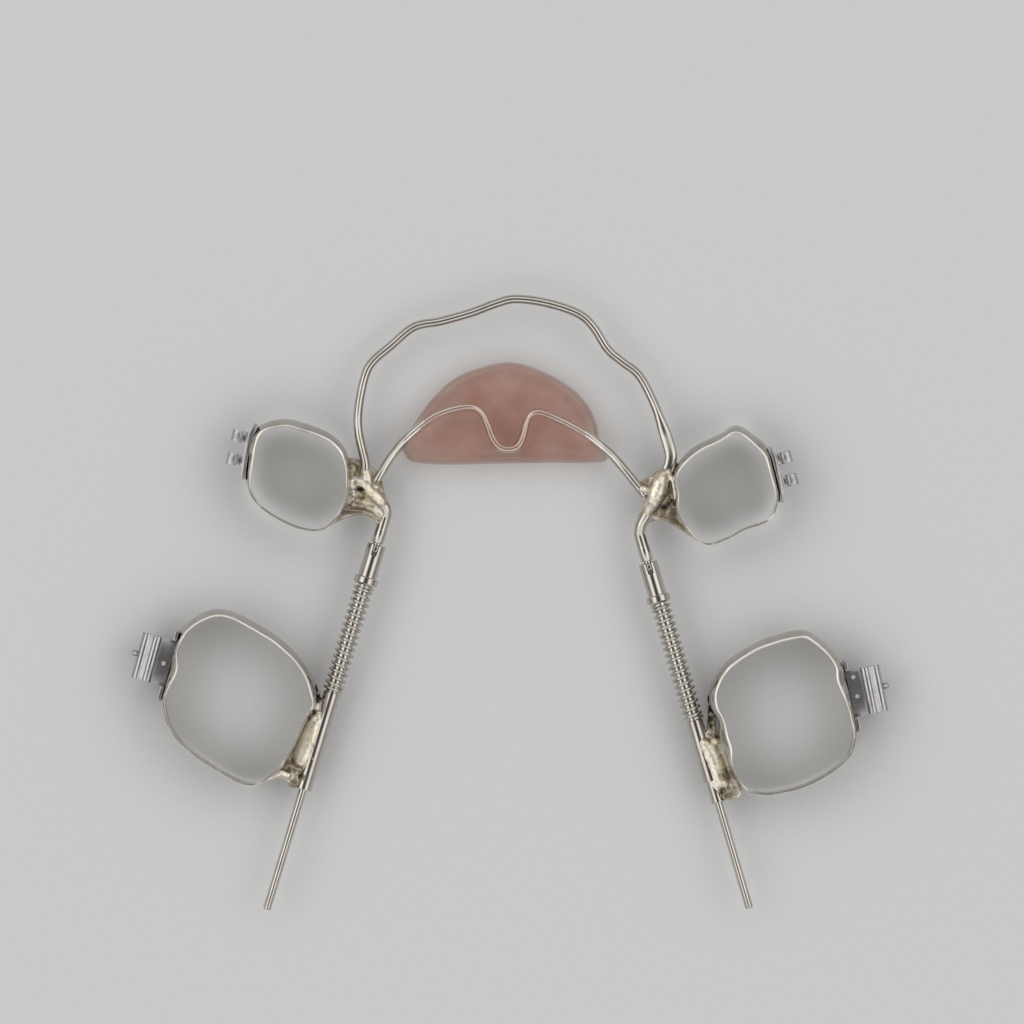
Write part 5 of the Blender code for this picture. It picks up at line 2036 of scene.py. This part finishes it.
    def hook(self) -> BMesh:
        """Turns the ball hook on the outer ridge's flank.

        Returns:
            The hook in the plate's frame.
        """
        ridge = self.ridges()[1]
        reach = ridge.x + self.ridge_radius
        ball, stem = self.ball / 2, self.stem / 2
        centre = reach + self.hook_reach
        last = math.pi - math.asin(stem / ball)
        profile = [(0.0, centre + ball)]
        for index in range(1, self.hook_steps + 1):
            turn = last * index / self.hook_steps
            profile.append((ball * math.sin(turn), centre + ball * math.cos(turn)))
        root = reach - self.ridge_radius / 2
        profile += [(stem, root), (0.0, root)]
        bm = turned_bmesh(profile, closed=False, steps=2 * self.hook_steps)
        place = Matrix.Translation((0.0, ridge.y, -self.plan.hand.value * self.hook_shift))
        carry(bm, place @ Matrix.Rotation(math.radians(90), 4, "Y"))
        return bm


@dataclass
class PalatalWires:
    """The arch wire and the looped wire that carries the button.

    Attributes:
        samples: How many points each wire's centre line has.
        sides: How many sides each wire has.
        hammered: The arch wire's point from which on it is hammered flat.
        hammered_rise: The share of that length over which the flattening sets in.
        wider: How much wider the hammered end gets, as a share.
        flatter: How much thinner it gets, as a share.
        hammered_reach: How far from the centre line a point still belongs to that end.
        covered: From where to where along X the looped wire lies in the acrylic.
        arch_knots: The arch wire from left to right, in millimetres.
        loop_knots: The looped wire from left to right, in millimetres.
    """

    diameter: float = 0.695 * MM
    samples: int = 320
    sides: int = 24
    hammered: int = 278
    hammered_rise: float = 0.45
    wider: float = 0.34
    flatter: float = 0.42
    hammered_reach: float = 0.5 * MM
    covered: tuple[float, float] = (-8.2 * MM, 7.2 * MM)
    covered_rise: float = 0.3 * MM
    arch_knots: Knots = (
        (-11.35, 9.9, 3.2), (-11.25, 10.7, 3.2), (-11.75, 13.0, 2.9), (-11.8, 14.7, 2.6),
        (-11.4, 17.0, 2.3), (-10.8, 18.4, 2.2), (-9.3, 19.75, 2.1), (-7.5, 21.2, 2.2),
        (-5.4, 21.65, 2.3), (-3.1, 22.3, 2.4), (-1.2, 23.0, 2.5), (0.3, 23.35, 2.5),
        (2.7, 23.05, 2.5), (5.1, 22.25, 2.4), (6.3, 21.2, 2.3), (7.4, 19.5, 2.2),
        (8.5, 18.55, 2.1), (9.8, 17.5, 2.2), (10.8, 15.7, 2.4), (11.5, 13.9, 2.7),
        (12.2, 11.7, 3.1), (12.2, 10.7, 3.2), (11.9, 9.9, 3.2),
    )
    loop_knots: Knots = (
        (-10.4, 9.3, 3.1), (-9.95, 10.1, 3.0), (-9.3, 11.15, 2.7), (-8.4, 12.3, 2.3),
        (-7.2, 13.4, 2.1), (-5.9, 14.35, 2.0), (-4.4, 14.9, 2.0), (-3.1, 15.05, 1.9),
        (-2.3, 14.6, 1.7), (-1.85, 13.7, 1.5), (-1.5, 12.75, 1.4), (-1.0, 12.05, 1.4),
        (-0.25, 11.8, 1.4), (0.5, 12.05, 1.4), (0.9, 12.8, 1.5), (1.15, 13.8, 1.7),
        (1.45, 14.4, 1.9), (2.0, 14.65, 2.0), (2.9, 14.4, 2.0), (4.2, 13.8, 2.1),
        (5.4, 13.15, 2.2), (6.3, 12.55, 2.3), (7.65, 11.4, 2.6), (8.7, 10.2, 2.9),
        (9.75, 8.9, 3.0), (10.3, 8.2, 3.1),
    )

    def build(self) -> None:
        """Bends both wires and dresses them."""
        path, bm = self.bend(self.arch_knots)
        self.hammer(bm, path[self.hammered :])
        self.dress_wire("arch_wire", "anterior_palatal_wire", bm)
        _, bm = self.bend(self.loop_knots)
        # Where it lies in the acrylic the wire is rougher and painted paler: a painted sheen.
        satin = bm.verts.layers.float.new("satin")
        first, last = self.covered
        for vert in bm.verts:
            inside = min(vert.co.x - first, last - vert.co.x)
            vert[satin] = eased(inside / self.covered_rise)
        self.dress_wire("button_wire", "nance_wire", bm)

    def bend(self, knots: Knots) -> tuple[list[Vector], BMesh]:
        """Bends a wire along its knots.

        Args:
            knots: The knots in millimetres.

        Returns:
            Its centre line and its mesh.
        """
        path = smooth_points(to_vectors(knots), self.samples)
        return path, tube_bmesh(path, [self.diameter / 2] * self.samples, self.sides)

    def hammer(self, bm: BMesh, tail: Sequence[Vector]) -> None:
        """Hammers the wire's end flat, for a bigger seat in the solder.

        Args:
            bm: The wire.
            tail: The flattened end's centre line.
        """
        tree = nearest_tree(tail)
        last = len(tail) - 1
        for vert in bm.verts:
            place, index, distance = tree.find(vert.co)
            if distance > self.hammered_reach:
                continue
            weight = eased(index / (self.hammered_rise * last))
            along = (tail[min(index + 1, last)] - tail[max(index - 1, 0)]).normalized()
            side = along.cross(UP).normalized()
            rise = side.cross(along)
            offset = vert.co - place
            vert.co += side * (offset.dot(side) * self.wider * weight)
            vert.co -= rise * (offset.dot(rise) * self.flatter * weight)

    @staticmethod
    def dress_wire(name: str, node: str, bm: BMesh) -> None:
        """Dresses a bent wire.

        Args:
            name: The piece's name.
            node: The node that it stands for.
            bm: Its mesh.
        """
        piece = new_object(name, bm)
        dress(piece, DRAWN_WIRE)
        show_for(piece, ANCHORAGE, Slot.STAINLESS, node)


@dataclass
class PalatalButton:
    """The acrylic button that rests on the palate.

    Attributes:
        thickness: How thick it is in the middle.
        samples: How many points its outline has.
        knots: Its outline in millimetres.
        levels: (share of the outline, share of the height) from its underside up.
    """

    thickness: float = 3.0 * MM
    samples: int = 120
    rings: int = 22
    knots: Knots = (
        (-8.35, 12.3), (-7.5, 13.8), (-6.1, 15.7), (-4.4, 17.25), (-2.2, 18.15), (0.0, 18.5),
        (2.4, 17.8), (4.5, 16.6), (5.8, 15.3), (6.5, 13.9), (6.8, 12.6), (7.4, 11.4),
        (6.9, 10.8), (3.1, 10.75), (-0.9, 10.7), (-4.8, 10.6), (-7.5, 10.8), (-8.3, 11.5),
    )
    levels: Knots = (
        (0.84, 0.0), (0.96, 0.14), (1.0, 0.34), (0.98, 0.58), (0.9, 0.8), (0.7, 0.94), (0.36, 1.0),
    )

    def build(self) -> None:
        """Raises the button level by level, closes it and dresses it."""
        outline = smooth_points(to_vectors(self.knots), self.samples, closed=True)
        centre = sum(outline, Vector((0.0, 0.0))) / len(outline)
        levels = smooth_points([Vector(level) for level in self.levels], self.rings)
        bm = bmesh.new()
        underside = [(*self.spread(point, centre, levels[0]), 0.0) for point in outline]
        ring = start_ring(bm, underside)
        bmesh.ops.contextual_create(bm, geom=ring[1])
        for level in levels[1:]:
            ring = raise_ring(bm, ring)
            for vert, point in zip(ring[0], outline):
                vert.co = (*self.spread(point, centre, level), self.thickness * level.y)
        bmesh.ops.contextual_create(bm, geom=ring[1])
        bmesh.ops.recalc_face_normals(bm, faces=bm.faces)
        piece = new_object("palatal_button", bm, 80.0)
        dress(piece, CLEAR_ACRYLIC)
        show_for(piece, ANCHORAGE, Slot.ACRYLIC, "acrylic_button")

    @staticmethod
    def spread(point: Vector, centre: Vector, level: Vector) -> Vector:
        """Draws an outline point in towards the centre by a level's share."""
        return centre + (point - centre) * level.x


# Stage


@dataclass(frozen=True)
class Softbox:
    """A soft square lamp that points at the object.

    Attributes:
        name: The lamp's name.
        place: Where it hangs.
        size: Its side.
        power: Its power in watts.
    """

    name: str
    place: tuple[float, float, float]
    size: float
    power: float

    def hang(self) -> None:
        """Hangs the lamp."""
        lamp = bpy.data.lights.new(self.name, "AREA")
        lamp.size = self.size
        lamp.energy = self.power
        holder = bpy.data.objects.new(self.name, lamp)
        holder.location = self.place
        holder.rotation_mode = "QUATERNION"
        holder.rotation_quaternion = Vector(self.place).to_track_quat("Z", "Y")
        bpy.context.scene.collection.objects.link(holder)


@dataclass
class Bench:
    """The pale floor, the soft light and the camera.

    Attributes:
        view_centre: The middle of the picture on the floor plan.
        view_width: How much of the plan the picture takes in.
        view_level: The height at which it takes that in.
        sensor_width: The camera's sensor, in millimetres.
        paper: The floor's finish.
        lamps: The lamps.
        sky_tones: (cosine of the angle from straight above, brightness) from the horizon up.
        side_span: The squares of the share of X between which the sky gets brighter.
        side_tones: How bright it is there, as shares.
    """

    view_centre: tuple[float, float] = (0.04 * MM, 6.96 * MM)
    view_width: float = 78.8 * MM
    view_level: float = 2.5 * MM
    camera_height: float = 0.9
    sensor_width: float = 36.0
    floor_size: float = 3.0
    floor_gap: float = 0.02 * MM
    paper: MattPaper = MattPaper()
    lamps: tuple[Softbox, ...] = (
        Softbox("left_softbox", (-0.36, 0.08, 0.42), 0.4, 0.13),
        Softbox("right_softbox", (0.36, 0.08, 0.42), 0.4, 0.1),
    )
    sky_tones: Knots = (
        (0.0, 0.3), (0.45, 0.4), (0.62, 1.1), (0.8, 1.38), (0.91, 1.15), (0.96, 0.22), (1.0, 0.11),
    )
    side_span: tuple[float, float] = (0.0, 0.6)
    side_tones: tuple[float, float] = (0.8, 1.08)

    def build(self) -> None:
        """Builds the floor, world, lamps and camera."""
        self.build_floor()
        self.build_world()
        for lamp in self.lamps:
            lamp.hang()
        self.build_camera()

    def build_floor(self) -> None:
        """Lays a plain pale floor under the object."""
        bm = bmesh.new()
        bmesh.ops.create_grid(bm, x_segments=1, y_segments=1, size=self.floor_size / 2)
        shift(bm, (0.0, 0.0, -self.floor_gap))
        floor = new_object("floor", bm)
        dress(floor, self.paper)

    def build_world(self) -> None:
        """Makes a light tent: dark straight above and low down, bright between, most at the sides."""
        world = bpy.data.worlds.new("light_tent")
        bpy.context.scene.world = world
        world.use_nodes = True
        sketch = NodeSketch(world.node_tree)
        direction = sketch.add("ShaderNodeTexCoord").outputs["Generated"]
        parts = sketch.add("ShaderNodeSeparateXYZ", {"Vector": direction}).outputs
        tones = [(place, (tone, tone, tone, 1.0)) for place, tone in self.sky_tones]
        height = sketch.ramp(parts["Z"], tones)
        across = sketch.output(
            "ShaderNodeMath", {"operation": "MULTIPLY", 0: parts["X"], 1: parts["X"]}
        )
        sides = sketch.remap(across, self.side_span, self.side_tones)
        light = sketch.output(
            "ShaderNodeVectorMath", {"operation": "SCALE", 0: height, "Scale": sides}
        )
        sky = world.node_tree.nodes["Background"]
        sky.inputs["Strength"].default_value = 1.0
        sketch.feed(sky, {"Color": light})

    def build_camera(self) -> None:
        """Looks straight down, so that the picture takes in the view's width."""
        lens = bpy.data.cameras.new("camera")
        lens.sensor_width = self.sensor_width
        lens.lens = self.sensor_width * self.camera_height / self.view_width
        lens.clip_start, lens.clip_end = 0.1, 10.0
        camera = bpy.data.objects.new("camera", lens)
        camera.location = (*self.view_centre, self.camera_height + self.view_level)
        bpy.context.scene.collection.objects.link(camera)
        bpy.context.scene.camera = camera


def main() -> None:
    """Builds every sub-assembly in order."""
    logging.basicConfig(level=logging.INFO, format="%(message)s")
    for leftover in list(bpy.data.objects):
        bpy.data.objects.remove(leftover)
    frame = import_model()
    nodes = frame["nodes"]
    bpy.context.scene.view_settings.view_transform = "Standard"
    Bench().build()
    PalatalWires().build()
    PalatalButton().build()
    for plan in (LEFT, RIGHT):
        word = plan.hand.word
        CoilTelescope(plan).build()
        premolar_band = ToothBand(
            f"{word}_premolar_band", f"premolar_band_{word}", ANCHORAGE, plan.premolar_knots,
            PREMOLAR_BAND_SPAN, plan.premolar_flares, f"premolar_bracket_{word}",
            PREMOLAR_SEED * plan.hand.value,
        )
        premolar_band.build(nodes)
        molar_band = ToothBand(
            f"{word}_molar_band", f"molar_band_{word}", plan.body, plan.molar_knots,
            MOLAR_BAND_SPAN, plan.molar_flares, f"buccal_tube_{word}",
            MOLAR_SEED * plan.hand.value,
        )
        molar_band.build(nodes)
        SolderJoint(
            f"{word}_premolar_solder", f"premolar_solder_{word}", ANCHORAGE, plan.premolar_web,
            PREMOLAR_WEB_SPAN, plan.premolar_runs,
            SolderSkin(plan.premolar_pits, plan.premolar_stains), premolar_band,
        ).build()
        SolderJoint(
            f"{word}_molar_solder", f"molar_solder_{word}", plan.body, plan.molar_web,
            MOLAR_WEB_SPAN, plan.molar_runs, SolderSkin(plan.molar_pits, plan.molar_stains),
            molar_band, plan.frame(), SOLDER_TUBE_RADIUS, plan.tooth_side,
        ).build()
        CastAttachment(f"{word}_bracket", f"premolar_bracket_{word}", ANCHORAGE).build(nodes)
        BuccalTube(plan).build()


if __name__ == "__main__":
    main()
